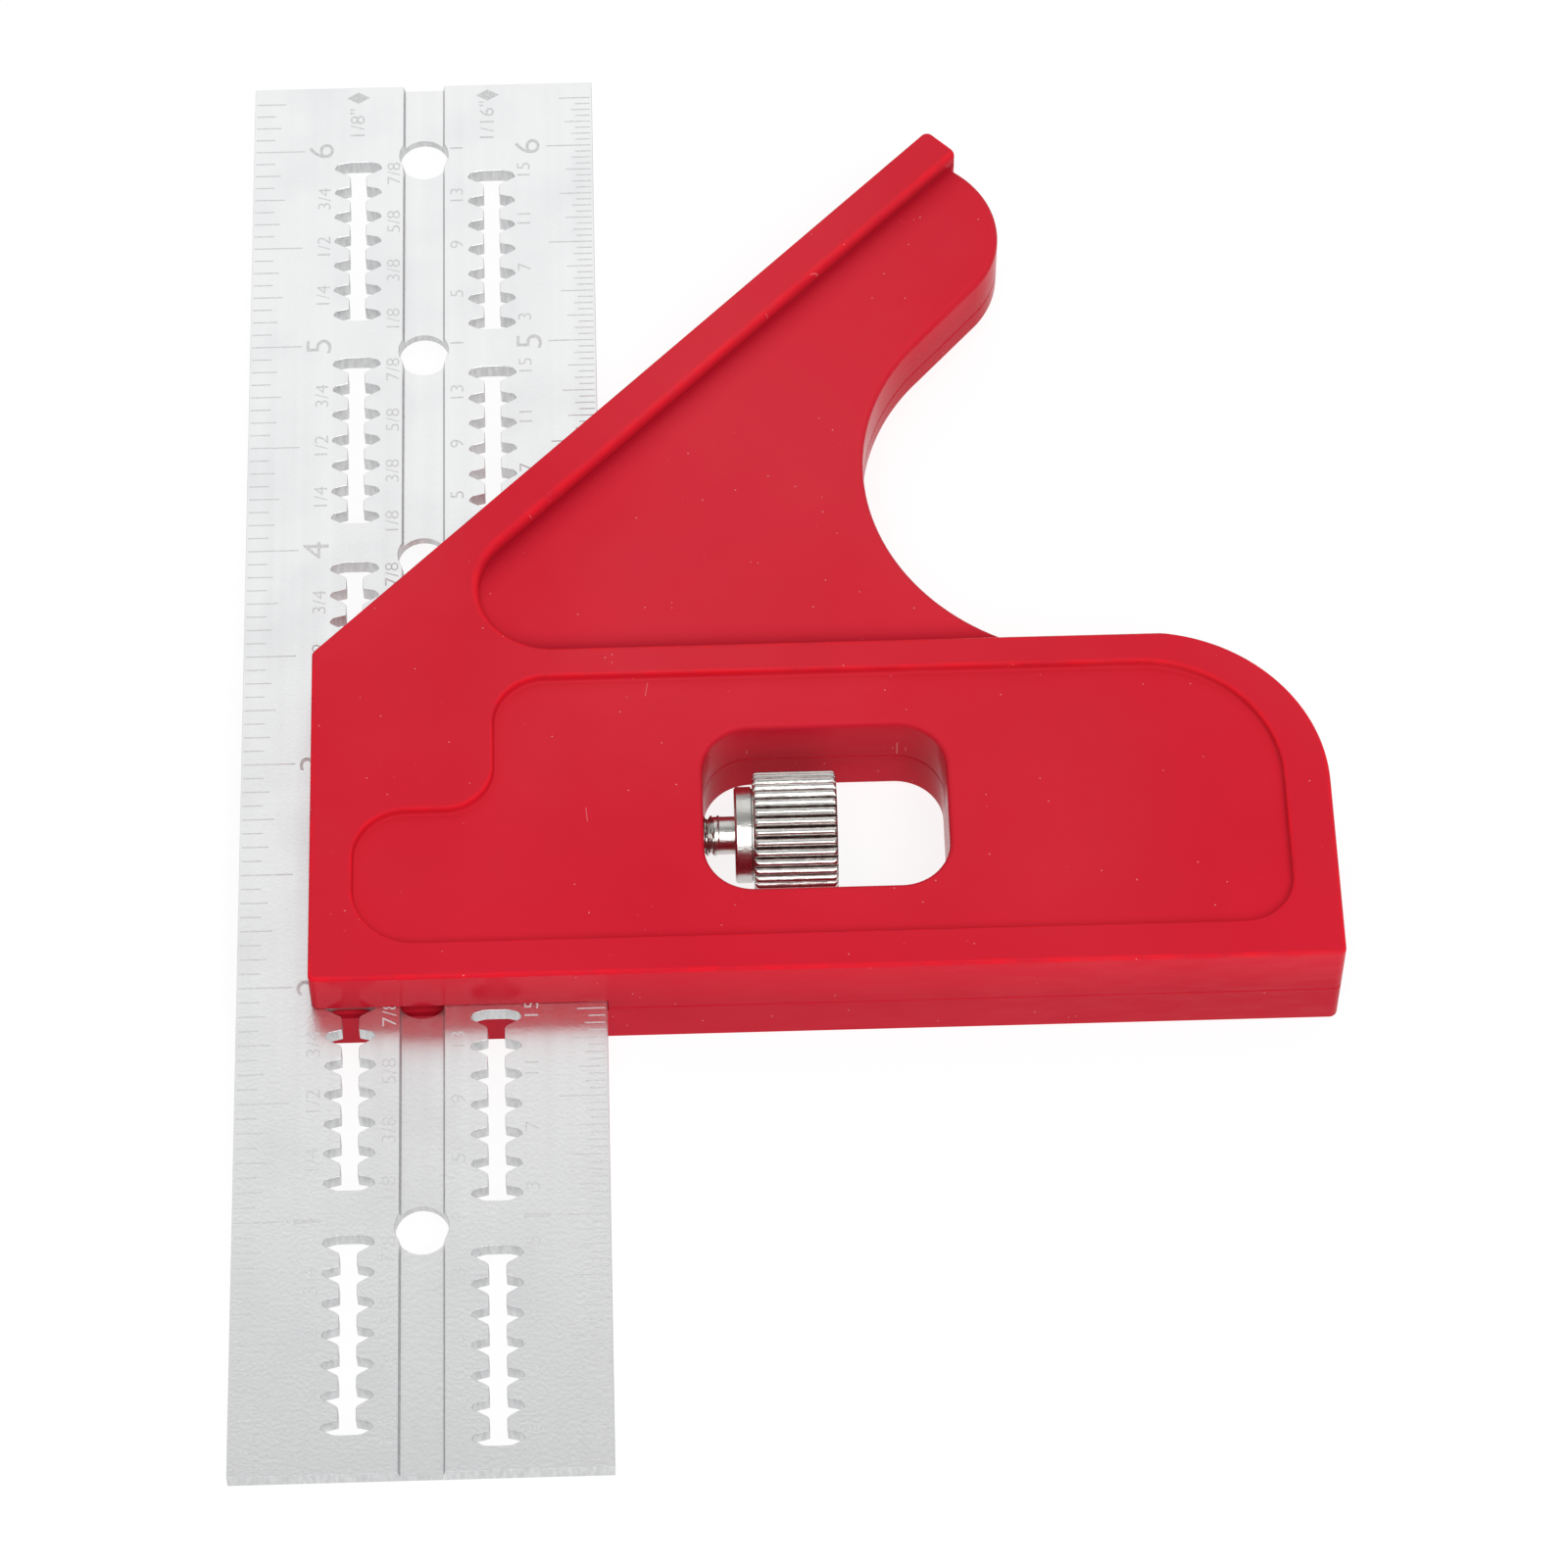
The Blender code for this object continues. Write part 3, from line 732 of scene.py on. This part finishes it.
def satin_aluminium():
    """Blasted and anodised strip: fine grain, faint stains, and rougher punched and milled walls with a
    torn grain, painted darker as shade.
    """
    shade = Shader("ruler_aluminium", RULER_FACE[0], 0.3, 1.0)
    rolling = shade.streaks((900, 14, 900))
    torn = shade.ramp(shade.streaks((2600, 2600, 500), detail=4), 0.3, 0.7)
    stains = shade.ramp(shade.noise(85, detail=6), 0.45, 0.75)
    walls = shade.upright_share()
    # Painted shade: the punched and milled walls take the darker RULER_WALL_IN_SHADE tones, over their real
    # torn grain.
    colour = shade.mix(walls, shade.mix(stains, *RULER_FACE), shade.mix(torn, *RULER_WALL_IN_SHADE))
    scratches = shade.scratches(scale=90, length=0.30, width=0.006, share=0.10)
    colour = shade.mix(shade.product(scratches, 0.25), colour, RULER_SCRATCH)
    shade.set(shade.surface, "Base Color", colour)

    rough = shade.ramp(rolling, 0.3, 0.7, 0.27, 0.32)
    rough = shade.total(rough, shade.product(stains, 0.05), shade.product(walls, 0.12))
    shade.set(shade.surface, "Roughness", rough)
    grain = shade.bump(shade.noise(9000, detail=2), 0.003, 0.35)
    lines = shade.bump(rolling, 0.004, 0.25, grain)
    shade.set(shade.surface, "Normal", shade.bump(torn, 0.02, 0.3, lines))
    return shade.material


def etched_mark():
    """The etched scale: the same metal, pitted until it only scatters light."""
    shade = Shader("etched_mark", ETCHED[0], 0.75)
    broken = shade.ramp(shade.noise(4200, detail=3), 0.35, 0.65)
    shade.set(shade.surface, "Base Color", shade.mix(broken, *ETCHED))
    shade.set(shade.surface, "Roughness", shade.ramp(broken, 0, 1, 0.85, 0.65))
    return shade.material


def nickel():
    """Nickel over turned steel, bright on the knurl's crests, with painted shade and a painted red
    reflection in its grooves.
    """
    shade = Shader("nickel_plate", NICKEL_PLATE[0], 0.24, 1.0)
    haze = shade.noise(500, detail=4)
    ragged = shade.ramp(shade.streaks((1500, 4000, 4000), detail=4), 0.3, 0.7, -0.10, 0.10)
    depth = shade.total(shade.from_clamp_axis(), shade.product(ragged, MM))
    floor, crest = (BARREL_RADIUS - KNURL_DEPTH * share for share in (0.85, 0.35))
    grooves = shade.ramp(depth, floor * MM, crest * MM, 1.0, 0.0)
    along = shade.parts(shade.place)["X"]
    on_barrel = shade.ramp(along, BARREL_START * MM, (BARREL_START + 0.3) * MM)
    # Painted shade in the knurl's grooves, tinted red as a painted reflection of the head.
    groove_shade = shade.product(grooves, on_barrel)
    shade.set(shade.surface, "Base Color", shade.mix(groove_shade, shade.mix(haze, *NICKEL_PLATE), NICKEL_GROOVE_SHADE))

    rough = shade.ramp(haze, 0.3, 0.7, 0.22, 0.32)
    shade.set(shade.surface, "Roughness", shade.total(rough, shade.product(groove_shade, 0.15)))
    turned_lines = shade.bump(shade.streaks((9000, 500, 500)), 0.016, 0.6)
    dents = shade.streaks((1100, 3000, 3000))
    shade.set(shade.surface, "Normal", shade.bump(dents, 0.045, 0.6, turned_lines))
    return shade.material


def plain_metal(name, bright, darker, roughness):
    """A turned or stamped metal with a hazy finish."""
    shade = Shader(name, bright, roughness, 1.0)
    haze = shade.noise(600, detail=4)
    shade.set(shade.surface, "Base Color", shade.mix(shade.ramp(haze, 0.35, 0.7), bright, darker))
    shade.set(shade.surface, "Roughness", shade.ramp(haze, 0.3, 0.7, roughness - 0.05, roughness + 0.1))
    lines = shade.streaks((4000, 300, 300), detail=2)
    shade.set(shade.surface, "Normal", shade.bump(lines, 0.008, 0.4))
    return shade.material


# ---------------------------------------------------------------- ruler


def make_ruler(material):
    """The strip, with a small chamfer on its edges and round every hole and slot."""
    chamfer = [(-RULER_THICKNESS, RULER_CHAMFER), (RULER_CHAMFER - RULER_THICKNESS, 0),
               (-RULER_CHAMFER, 0), (0, RULER_CHAMFER)]
    ruler = moulded("ruler_strip", box_outline(0, RULER_WIDTH, RULER_FOOT, RULER_TOP), chamfer)
    flare = [(-RULER_THICKNESS - PUNCH_OVERCUT, -RULER_CHAMFER), (-RULER_THICKNESS, -RULER_CHAMFER),
             (RULER_CHAMFER - RULER_THICKNESS, 0), (-RULER_CHAMFER, 0),
             (0, -RULER_CHAMFER), (PUNCH_OVERCUT, -RULER_CHAMFER)]
    openings = []
    for inch in range(1, INCH_COUNT + 1):
        openings.append(circle((GROOVE_CENTRE, inch * INCH - HOLE_BELOW_INCH), HOLE_RADIUS))
    for centre_x, offset in SLOT_COLUMNS:
        for inch in range(INCH_COUNT):
            openings.append(toothed_slot_outline(centre_x, inch * INCH + LOBE_PITCH + offset))
    punches = joined("punches", [moulded("punch", outline, flare) for outline in openings])

    half = GROOVE_WIDTH / 2
    slope = GROOVE_SLOPE * (1 + OVERCUT / GROOVE_DEPTH)
    section = [(half - GROOVE_SLOPE, -GROOVE_DEPTH), (half - GROOVE_SLOPE + slope, OVERCUT)]
    section += [(-x, z) for x, z in reversed(section)]
    ends = (RULER_FOOT - OVERCUT, RULER_TOP + OVERCUT)
    groove = loft("groove_cutter", [[(GROOVE_CENTRE + x, y, z) for x, z in section] for y in ends])
    settle(cut_all(ruler, [groove, punches]), [groove, punches])
    return dress(smooth(ruler), material, "ruler", "ruler_aluminium", "ruler")


# Etched scale: tick lengths for whole, half, quarter, eighth, sixteenth and thirty-second inches
MARK_LOW = -0.03
MARK_HIGH = 0.008
TICK_WIDTH = 0.13
TICK_INSET = 0.2
LEFT_TICKS = (5.1, 5.0, 3.1, 2.6, 2.0)
RIGHT_TICKS = (4.7, 4.5, 3.3, 2.7, 2.0, 1.6)
# The real left scale has one more tick, at 6 5/16 inches
SCALE_INCHES = 6.25
BIG_HEIGHT = 2.5
SMALL_HEIGHT = 1.3
TOP_LABEL_HEIGHT = 1.45
CAP_HEIGHT = 0.66
LABEL_STRETCH = 1.2
LABEL_OFFSET = -0.02
TOP_LABELS = ((10.9, '1/8"'), (24.5, '1/16"'))
TOP_LABEL_Y = 155.9
DIAMOND_Y = 159.4
DIAMOND_HALF_WIDTH = 1.2
DIAMOND_HALF_LENGTH = 0.75
INCH_NUMBER_COLUMNS = (7.2, 28.8)
# Small labels: column, then each eighth of an inch with its text
FRACTION_COLUMNS = (
    (7.5, {2: "1/4", 4: "1/2", 6: "3/4"}),
    (14.73, {1: "1/8", 3: "3/8", 5: "5/8", 7: "7/8"}),
    (21.3, {2: "5", 4: "9", 6: "13", 8: "1"}),
    (28.3, {1: "3", 3: "7", 5: "11", 7: "15"}),
)


def tick_length(step, lengths):
    """The length for the coarsest division that a tick, counted in the finest, falls on."""
    for level, length in enumerate(lengths):
        if step % (2 ** (len(lengths) - 1 - level)) == 0:
            return length
    return lengths[-1]


def ticks(name, lengths, edge, inward):
    """One edge's ticks, as one mesh of thin bars. inward is 1 or -1, the way from the edge."""
    per_inch = 2 ** (len(lengths) - 1)
    cage = bmesh.new()
    for step in range(round(SCALE_INCHES * per_inch) + 1):
        length = tick_length(step, lengths)
        middle_x = edge + inward * (TICK_INSET + length / 2)
        middle = Vector((middle_x, step * INCH / per_inch, (MARK_LOW + MARK_HIGH) / 2))
        size = Vector((length, TICK_WIDTH, MARK_HIGH - MARK_LOW))
        matrix = Matrix.Translation(middle * MM) @ Matrix.Diagonal((*(size * MM), 1))
        bmesh.ops.create_cube(cage, size=1, matrix=matrix)
    mesh = bpy.data.meshes.new(name)
    cage.to_mesh(mesh)
    cage.free()
    return new_object(name, mesh)


def label(text, x, y, height):
    """Text centred on a point, reading along the ruler."""
    curve = bpy.data.curves.new("label", "FONT")
    curve.body = text
    curve.size = height / CAP_HEIGHT * MM
    curve.align_x = "CENTER"
    curve.align_y = "CENTER"
    curve.offset = LABEL_OFFSET * MM
    curve.extrude = (MARK_HIGH - MARK_LOW) / 2 * MM
    curve.resolution_u = 4
    item = new_object("label", curve)
    mesh = evaluated_mesh(item)
    remove(item)
    place = Matrix.Translation(Vector((x, y, (MARK_LOW + MARK_HIGH) / 2)) * MM)
    mesh.transform(place @ Matrix.Rotation(math.pi / 2, 4, "Z") @ Matrix.Diagonal((LABEL_STRETCH, 1, 1, 1)))
    return new_object("label", mesh)


def joined(name, items):
    """Several mesh objects as one."""
    cage = bmesh.new()
    for item in items:
        cage.from_mesh(item.data)
        remove(item)
    bmesh.ops.remove_doubles(cage, verts=cage.verts, dist=WELD)
    bmesh.ops.dissolve_degenerate(cage, edges=cage.edges, dist=WELD)
    mesh = bpy.data.meshes.new(name)
    cage.to_mesh(mesh)
    cage.free()
    return new_object(name, mesh)


def make_scales(material):
    """Ticks, inch numbers, small labels and the two labels at the top, as one mesh."""
    items = [ticks("left_ticks", LEFT_TICKS, 0, 1), ticks("right_ticks", RIGHT_TICKS, RULER_WIDTH, -1)]
    for inch in range(1, INCH_COUNT + 1):
        for x in INCH_NUMBER_COLUMNS:
            items.append(label(str(inch), x, inch * INCH, BIG_HEIGHT))
    for x, texts in FRACTION_COLUMNS:
        for inch in range(INCH_COUNT):
            for eighth, text in texts.items():
                items.append(label(text, x, (inch + eighth / 8) * INCH, SMALL_HEIGHT))
    for x, text in TOP_LABELS:
        items.append(label(text, x, TOP_LABEL_Y, TOP_LABEL_HEIGHT))
        diamond = [
            (x + DIAMOND_HALF_WIDTH, DIAMOND_Y),
            (x, DIAMOND_Y + DIAMOND_HALF_LENGTH),
            (x - DIAMOND_HALF_WIDTH, DIAMOND_Y),
            (x, DIAMOND_Y - DIAMOND_HALF_LENGTH),
        ]
        items.append(slab("diamond", [diamond], MARK_LOW, MARK_HIGH))
    return dress(joined("ruler_scales", items), material, "ruler", "ruler_aluminium")


# ---------------------------------------------------------------- head


def hollow_cutter(name, low, high):
    """The hollow in the right arm, left standing round a cross of ribs and a screw boss."""
    left, right, front, back = HOLLOW
    corners = [(left, front), (right, front), (right, back), (left, back)]
    hollow = slab(name, [rounded([(*corner, r) for corner, r in zip(corners, HOLLOW_RADII)])], low, high)
    x, y = SHELL_SCREWS[2][1:3]
    half = RIB_THICKNESS / 2
    outlines = {
        "_along": box_outline(left - OVERCUT, right + OVERCUT, y - half, y + half),
        "_across": box_outline(x - half, x + half, front - OVERCUT, back + OVERCUT),
        "_boss": circle((x, y), BOSS_RADIUS),
    }
    kept = []
    for part, outline in outlines.items():
        kept.append(slab(name + part, [outline], low - OVERCUT, high + OVERCUT))
    return settle(cut_all(hollow, kept), kept)


def shared_head_cutters():
    """What both shells are cut by: ruler slot, nut pocket, clamp bore and screw holes."""
    slot_back = SLOT_END + MITER_OFFSET + OVERCUT
    slot = box_outline(HEAD_LEFT - OVERCUT, SLOT_END, HEAD_FRONT - OVERCUT, slot_back)
    nut_half = NUT_WIDTH / 2 + NUT_CLEARANCE
    pocket = box_outline(NUT_START - NUT_CLEARANCE, NUT_START + NUT_THICKNESS + NUT_CLEARANCE,
                         CLAMP_Y - nut_half, CLAMP_Y + nut_half)
    bore = [(SLOT_END - OVERCUT, PAD_BORE_RADIUS), (NUT_START, PAD_BORE_RADIUS),
            (NUT_START, SCREW_BORE_RADIUS), (WINDOW[0] + OVERCUT, SCREW_BORE_RADIUS)]
    cutters = [
        slab("ruler_slot_cutter", [slot], -RULER_THICKNESS - RULER_PLAY, RULER_PLAY),
        slab("nut_pocket_cutter", [pocket], CLAMP_Z - nut_half, CLAMP_Z + nut_half),
        turned("clamp_bore_cutter", bore, on_clamp_axis),
    ]
    for name, x, y, face, length in SHELL_SCREWS:
        sink = face + SHELL_SCREW_RECESS
        cone_top = sink + SHELL_SCREW_HEAD_HEIGHT + SHELL_SCREW_RECESS
        mouth = SHELL_SCREW_HEAD_RADIUS + SHELL_SCREW_RECESS
        profile = [(face - OVERCUT, mouth), (sink, mouth), (cone_top, SHELL_HOLE_RADIUS),
                   (sink + length + SHELL_SCREW_RECESS, SHELL_HOLE_RADIUS)]
        cutters.append(turned(name + "_hole", profile, upright_at(x, y)))
    return cutters


def make_shell(name, outwards, rim, panel, wing, hollow, shared):
    """One half of the head. outwards is 1 for the upper shell and -1 for the lower one.

    A slab as high as the wing's floor is joined to a full-height rim and arm, so that moulded edges
    are round: the slabs' own edges are drawn in, and the recesses' cutters are flared. The lower
    panel recess is shallower than its fillet and rounding together. Their heights interleave, and
    that one wall is ridged instead of round.
    """
    seam = SEAM + outwards * VISIBLE_SEAM / 2
    beyond = rim + outwards * OVERCUT
    behind = seam - outwards * OVERCUT
    clearance = outwards * TANGENT_CLEARANCE
    rim_edge = RIM_ROUNDING if outwards > 0 else UNDERSIDE_ROUNDING
    floor_edge = OUTER_ROUNDING if outwards > 0 else UNDERSIDE_ROUNDING

    def flared(edge, radius):
        """A recess cutter's mouth, flared to round the solid's edge."""
        return rounding(edge + clearance, radius, outwards, True) + [(beyond, -radius)]

    def recess(floor_height, fillet):
        """A recess cutter's end, drawn in to leave a fillet round the floor."""
        return rounding(floor_height, fillet, -outwards, False)

    seam_edge = rounding(seam, SEAM_ROUNDING, -outwards, False, SEAM_STEPS)
    rim_profile = seam_edge + rounding(rim, rim_edge, outwards, False)
    floor_profile = seam_edge + rounding(wing, floor_edge, outwards, False)
    wing_walls = [(behind, WING_FILLET)] + recess(wing, WING_FILLET) + flared(rim, WING_WALL_ROUNDING)
    panel_walls = recess(panel, FLOOR_FILLET) + flared(rim, PANEL_ROUNDING)
    window_foot = rounding(seam - clearance, SEAM_ROUNDING, -outwards, True, SEAM_STEPS)
    window_walls = [(behind, -SEAM_ROUNDING)] + window_foot + flared(panel, WINDOW_ROUNDING)

    outline = head_outline()
    shell = moulded(name, outline, rim_profile)
    wing_cutter = moulded(name + "_wing_cutter", wing_recess_outline(), wing_walls)
    settle(cut_all(shell, [wing_cutter]), [wing_cutter])
    floor = moulded(name + "_wing_floor", inset(outline, WALL_STEP), floor_profile)
    combine(shell, floor, "UNION")
    settle(shell, [floor])

    cutters = [
        moulded(name + "_panel_cutter", rounded(PANEL_CORNERS), panel_walls),
        moulded(name + "_window_cutter", box_outline(*WINDOW, WINDOW_RADIUS), window_walls),
        hollow_cutter(name + "_hollow_cutter", min(SEAM, hollow), max(SEAM, hollow)),
    ]
    settle(cut_all(shell, cutters + shared), cutters)
    return shell


def mark_surface(shell, rim, rounding_radius):
    """Mark the rim's rounded edges for a painted highlight, and the window's walls for painted shade.

    A mark blends over every face that shares its vertices. On the lower shell the window's mark
    therefore fades out across the panel in wedges.
    """
    rim_highlight = shell.data.attributes.new("rim_highlight", "FLOAT", "POINT")
    window_shade = shell.data.attributes.new("window_shade", "FLOAT", "POINT")
    left, right, front, back = WINDOW
    # Painted shade in the window: darker the deeper down its walls.
    for vertex in shell.data.vertices:
        x, y, z = vertex.co / MM
        across = left - MARK_REACH < x < right + MARK_REACH
        if across and front - MARK_REACH < y < back + MARK_REACH:
            depth = (PANEL_TOP - WINDOW_ROUNDING - z) / (PANEL_TOP - PANEL_BOTTOM)
            window_shade.data[vertex.index].value = min(1.0, max(0.0, depth))
    # Painted highlight on the rounded faces near the rim.
    for face in shell.data.polygons:
        if STEEPEST_ROUNDED < abs(face.normal.z) < FLATTEST_ROUNDED:
            for index in face.vertices:
                height = shell.data.vertices[index].co.z / MM
                if abs(height - rim) < rounding_radius * HIGHLIGHT_SHARE:
                    rim_highlight.data[index].value = 1.0


def make_head(material):
    """Both shells, with the guide rib joined to the upper one."""
    shared = shared_head_cutters()
    upper = make_shell("upper_shell", 1, HEAD_TOP, PANEL_TOP, WING_TOP, HOLLOW_TOP, shared)
    lower = make_shell("lower_shell", -1, HEAD_BOTTOM, PANEL_BOTTOM, WING_BOTTOM, HOLLOW_BOTTOM, shared)
    for cutter in shared:
        remove(cutter)
    rib_outline = box_outline(GROOVE_CENTRE - RIB_WIDTH / 2, GROOVE_CENTRE + RIB_WIDTH / 2,
                              HEAD_FRONT + RIB_INSET, ARM_BACK)
    rib = slab("guide_rib", [rib_outline], -RIB_DEPTH, OVERCUT)
    combine(upper, rib, "UNION")
    settle(upper, [rib])
    mark_surface(upper, HEAD_TOP, RIM_ROUNDING)
    mark_surface(lower, HEAD_BOTTOM, UNDERSIDE_ROUNDING)
    dress(smooth(upper), material, "head", "red_plastic", "head_upper_shell")
    dress(smooth(lower), material, "head", "red_plastic", "head_lower_shell")


# ---------------------------------------------------------------- clamp

POINTS_PER_TOOTH = 10
RINGS_PER_TURN = 8
DOG_CHAMFER = 0.15
SHOULDER_CHAMFER = 0.2
BARREL_END_DROP = BARREL_CHAMFER * 1.1
# The barrel's rounded ends, as shares of the chamfer along it and of the drop regained
BARREL_END_STEPS = ((0, 0), (0.12, 0.5), (0.4, 0.83), (0.75, 0.97), (1, 1))


def thread_radius(along, angle):
    """A V thread with a flat crest and root, at one place along and round the screw."""
    turn = (along / THREAD_PITCH - angle / (2 * math.pi)) % 1
    rise = min(1, max(0, 3 * abs(turn - 0.5) - 0.25))
    return THREAD_RADIUS - THREAD_DEPTH * rise


def tooth_radius(angle):
    """The knurl: rounded crests with a sharp groove between them."""
    return BARREL_RADIUS - KNURL_DEPTH * (1 - abs(math.cos(angle * KNURL_TEETH / 2)) ** 0.8)


def make_thumb_screw(material):
    """Dog point, thread, neck, shoulder and knurled barrel, as rings along the clamp axis."""
    count = KNURL_TEETH * POINTS_PER_TOOTH
    angles = [2 * math.pi * index / count for index in range(count)]

    def ring(along, radius):
        radii = [radius(angle) if callable(radius) else radius for angle in angles]
        return [on_clamp_axis(along, r * math.cos(a), r * math.sin(a)) for a, r in zip(angles, radii)]

    root = THREAD_RADIUS - THREAD_DEPTH

    def threaded(along, height, lowest):
        """A ring whose thread stands a share of its full height above the root."""
        return ring(along, lambda angle: max(lowest, root + (thread_radius(along, angle) - root) * height))

    dog_end = screw_low.x
    rings = [
        ring(dog_end, DOG_RADIUS - DOG_CHAMFER),
        ring(dog_end + DOG_CHAMFER, DOG_RADIUS),
        ring(SCREW_TIP, DOG_RADIUS),
    ]
    steps = round((NECK_START - SCREW_TIP) / THREAD_PITCH * RINGS_PER_TURN)
    for index in range(steps + 1):
        along = SCREW_TIP + (NECK_START - SCREW_TIP) * index / steps
        lowest = root if index < steps - RINGS_PER_TURN else NECK_RADIUS
        rings.append(threaded(along, min(1, index / RINGS_PER_TURN), lowest))
    shoulder_end = SHOULDER_RADIUS - SHOULDER_CHAMFER
    for along, radius in (
        (NECK_START, NECK_RADIUS),
        (SHOULDER_START, NECK_RADIUS),
        (SHOULDER_START, shoulder_end),
        (SHOULDER_START + SHOULDER_CHAMFER, SHOULDER_RADIUS),
        (BARREL_START - SHOULDER_CHAMFER, SHOULDER_RADIUS),
        (BARREL_START - SHOULDER_CHAMFER / 2, shoulder_end),
        (BARREL_START, shoulder_end),
    ):
        rings.append(ring(along, radius))
    ends = [(BARREL_START + BARREL_CHAMFER * a, b) for a, b in BARREL_END_STEPS]
    ends += [(BARREL_END - BARREL_CHAMFER * a, b) for a, b in reversed(BARREL_END_STEPS)]
    for along, share in ends:
        limit = BARREL_RADIUS - BARREL_END_DROP * (1 - share)
        rings.append(ring(along, lambda angle: min(tooth_radius(angle), limit)))
    screw = loft("turned_thumb_screw", rings)
    dress(smooth(screw, 40), material, "thumb_screw", "nickel_plate", "thumb_screw")


def make_shell_screws(material):
    """Countersunk self-tappers with a cross recess, seen from the underside."""
    for name, x, y, face, length in SHELL_SCREWS:
        sink = face + SHELL_SCREW_RECESS
        neck = sink + SHELL_SCREW_HEAD_HEIGHT
        tip = sink + length
        profile = [(sink, SHELL_SCREW_HEAD_RADIUS - 0.15), (sink + 0.12, SHELL_SCREW_HEAD_RADIUS),
                   (neck, SHELL_SCREW_RADIUS), (tip - SHELL_SCREW_RADIUS, SHELL_SCREW_RADIUS), (tip, 0.1)]
        screw = turned("turned_" + name, profile, upright_at(x, y))
        wide, narrow = DRIVE_LENGTH / 2, DRIVE_WIDTH / 2
        cross = [(wide, -narrow), (wide, narrow), (narrow, narrow), (narrow, wide)]
        outline = []
        for quarter in range(4):
            turn = Matrix.Rotation(quarter * math.pi / 2, 2)
            outline += [tuple(turn @ Vector(point)) for point in cross[1:]]
        levels = ((sink - OVERCUT, 1.0), (sink, 1.0), (sink + DRIVE_DEPTH, 0.6))
        drive = loft("drive_cutter", [[(x + u * s, y + v * s, z) for u, v in outline] for z, s in levels])
        settle(cut_all(screw, [drive]), [drive])
        dress(smooth(screw), material, "head", "zinc_steel", name)


# ---------------------------------------------------------------- stage, light and camera

CAMERA_TARGET = Vector((0.15, -7.05, 5.9)) * MM
CAMERA_DISTANCE = 0.58
CAMERA_AZIMUTH = 1.77
CAMERA_ELEVATION = 57.8
CAMERA_LENS = 135.66
FLOOR_SIZE = 6
FLOOR_GAP = 0.0002


def direction(azimuth, elevation):
    """From the object towards a place round it: azimuth 0 is in front of it, at -Y."""
    turn, rise = math.radians(azimuth), math.radians(elevation)
    return Vector((-math.sin(turn) * math.cos(rise), -math.cos(turn) * math.cos(rise), math.sin(rise)))


def aim(item, towards, distance, target=Vector()):
    """Put a camera or light at a distance from a target, looking back at it."""
    item.location = target + towards * distance
    item.rotation_euler = towards.to_track_quat("Z", "Y").to_euler()
    bpy.context.scene.collection.objects.link(item)


def make_camera():
    data = bpy.data.cameras.new("camera")
    data.lens = CAMERA_LENS
    data.clip_start = 0.01
    camera = bpy.data.objects.new("camera", data)
    aim(camera, direction(CAMERA_AZIMUTH, CAMERA_ELEVATION), CAMERA_DISTANCE, CAMERA_TARGET)
    bpy.context.scene.camera = camera


def make_floor():
    """A wide, softly glowing white floor just under the object."""
    bpy.ops.mesh.primitive_plane_add(size=FLOOR_SIZE, location=(0, 0, -FLOOR_GAP))
    floor = bpy.context.object
    floor.name = "floor"
    shade = Shader("floor", (0.2, 0.2, 0.2), 0.8)
    shade.set(shade.surface, "Specular IOR Level", 0.0)
    shade.set(shade.surface, "Emission Color", (1.0, 1.0, 1.0, 1.0))
    shade.set(shade.surface, "Emission Strength", 0.85)
    floor.data.materials.append(shade.material)


def soft_box(name, azimuth, elevation, distance, size, power):
    """A rectangular light aimed at the origin; sizes in metres, power in watts."""
    data = bpy.data.lights.new(name, "AREA")
    data.shape = "RECTANGLE"
    data.size, data.size_y = size
    data.energy = power
    aim(bpy.data.objects.new(name, data), direction(azimuth, elevation), distance)


def make_light():
    world = bpy.data.worlds.new("studio")
    world.use_nodes = True
    background = world.node_tree.nodes["Background"]
    background.inputs["Color"].default_value = (1.0, 1.0, 1.0, 1.0)
    background.inputs["Strength"].default_value = 0.41
    bpy.context.scene.world = world
    soft_box("back_box", 180, 46, 1.2, (1.4, 0.9), 2.6)
    soft_box("front_box", -15, 54, 1.1, (0.9, 0.9), 7.6)
    bpy.context.scene.view_settings.view_transform = "Standard"


make_camera()
make_light()
make_floor()

RED = red_plastic()
ALUMINIUM = satin_aluminium()
NICKEL = nickel()
ZINC = plain_metal("zinc_steel", (0.66, 0.67, 0.68), (0.52, 0.53, 0.55), 0.28)
BRASS = plain_metal("brass", (0.76, 0.58, 0.27), (0.62, 0.45, 0.18), 0.26)

make_ruler(ALUMINIUM)
make_scales(etched_mark())
make_head(RED)
make_thumb_screw(NICKEL)
make_shell_screws(ZINC)
for node, metal, slot_name in (("clamp_nut", ZINC, "zinc_steel"), ("pressure_pad", BRASS, "brass")):
    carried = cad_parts[node]
    carried.data.materials.clear()
    carried.data.materials.append(metal)
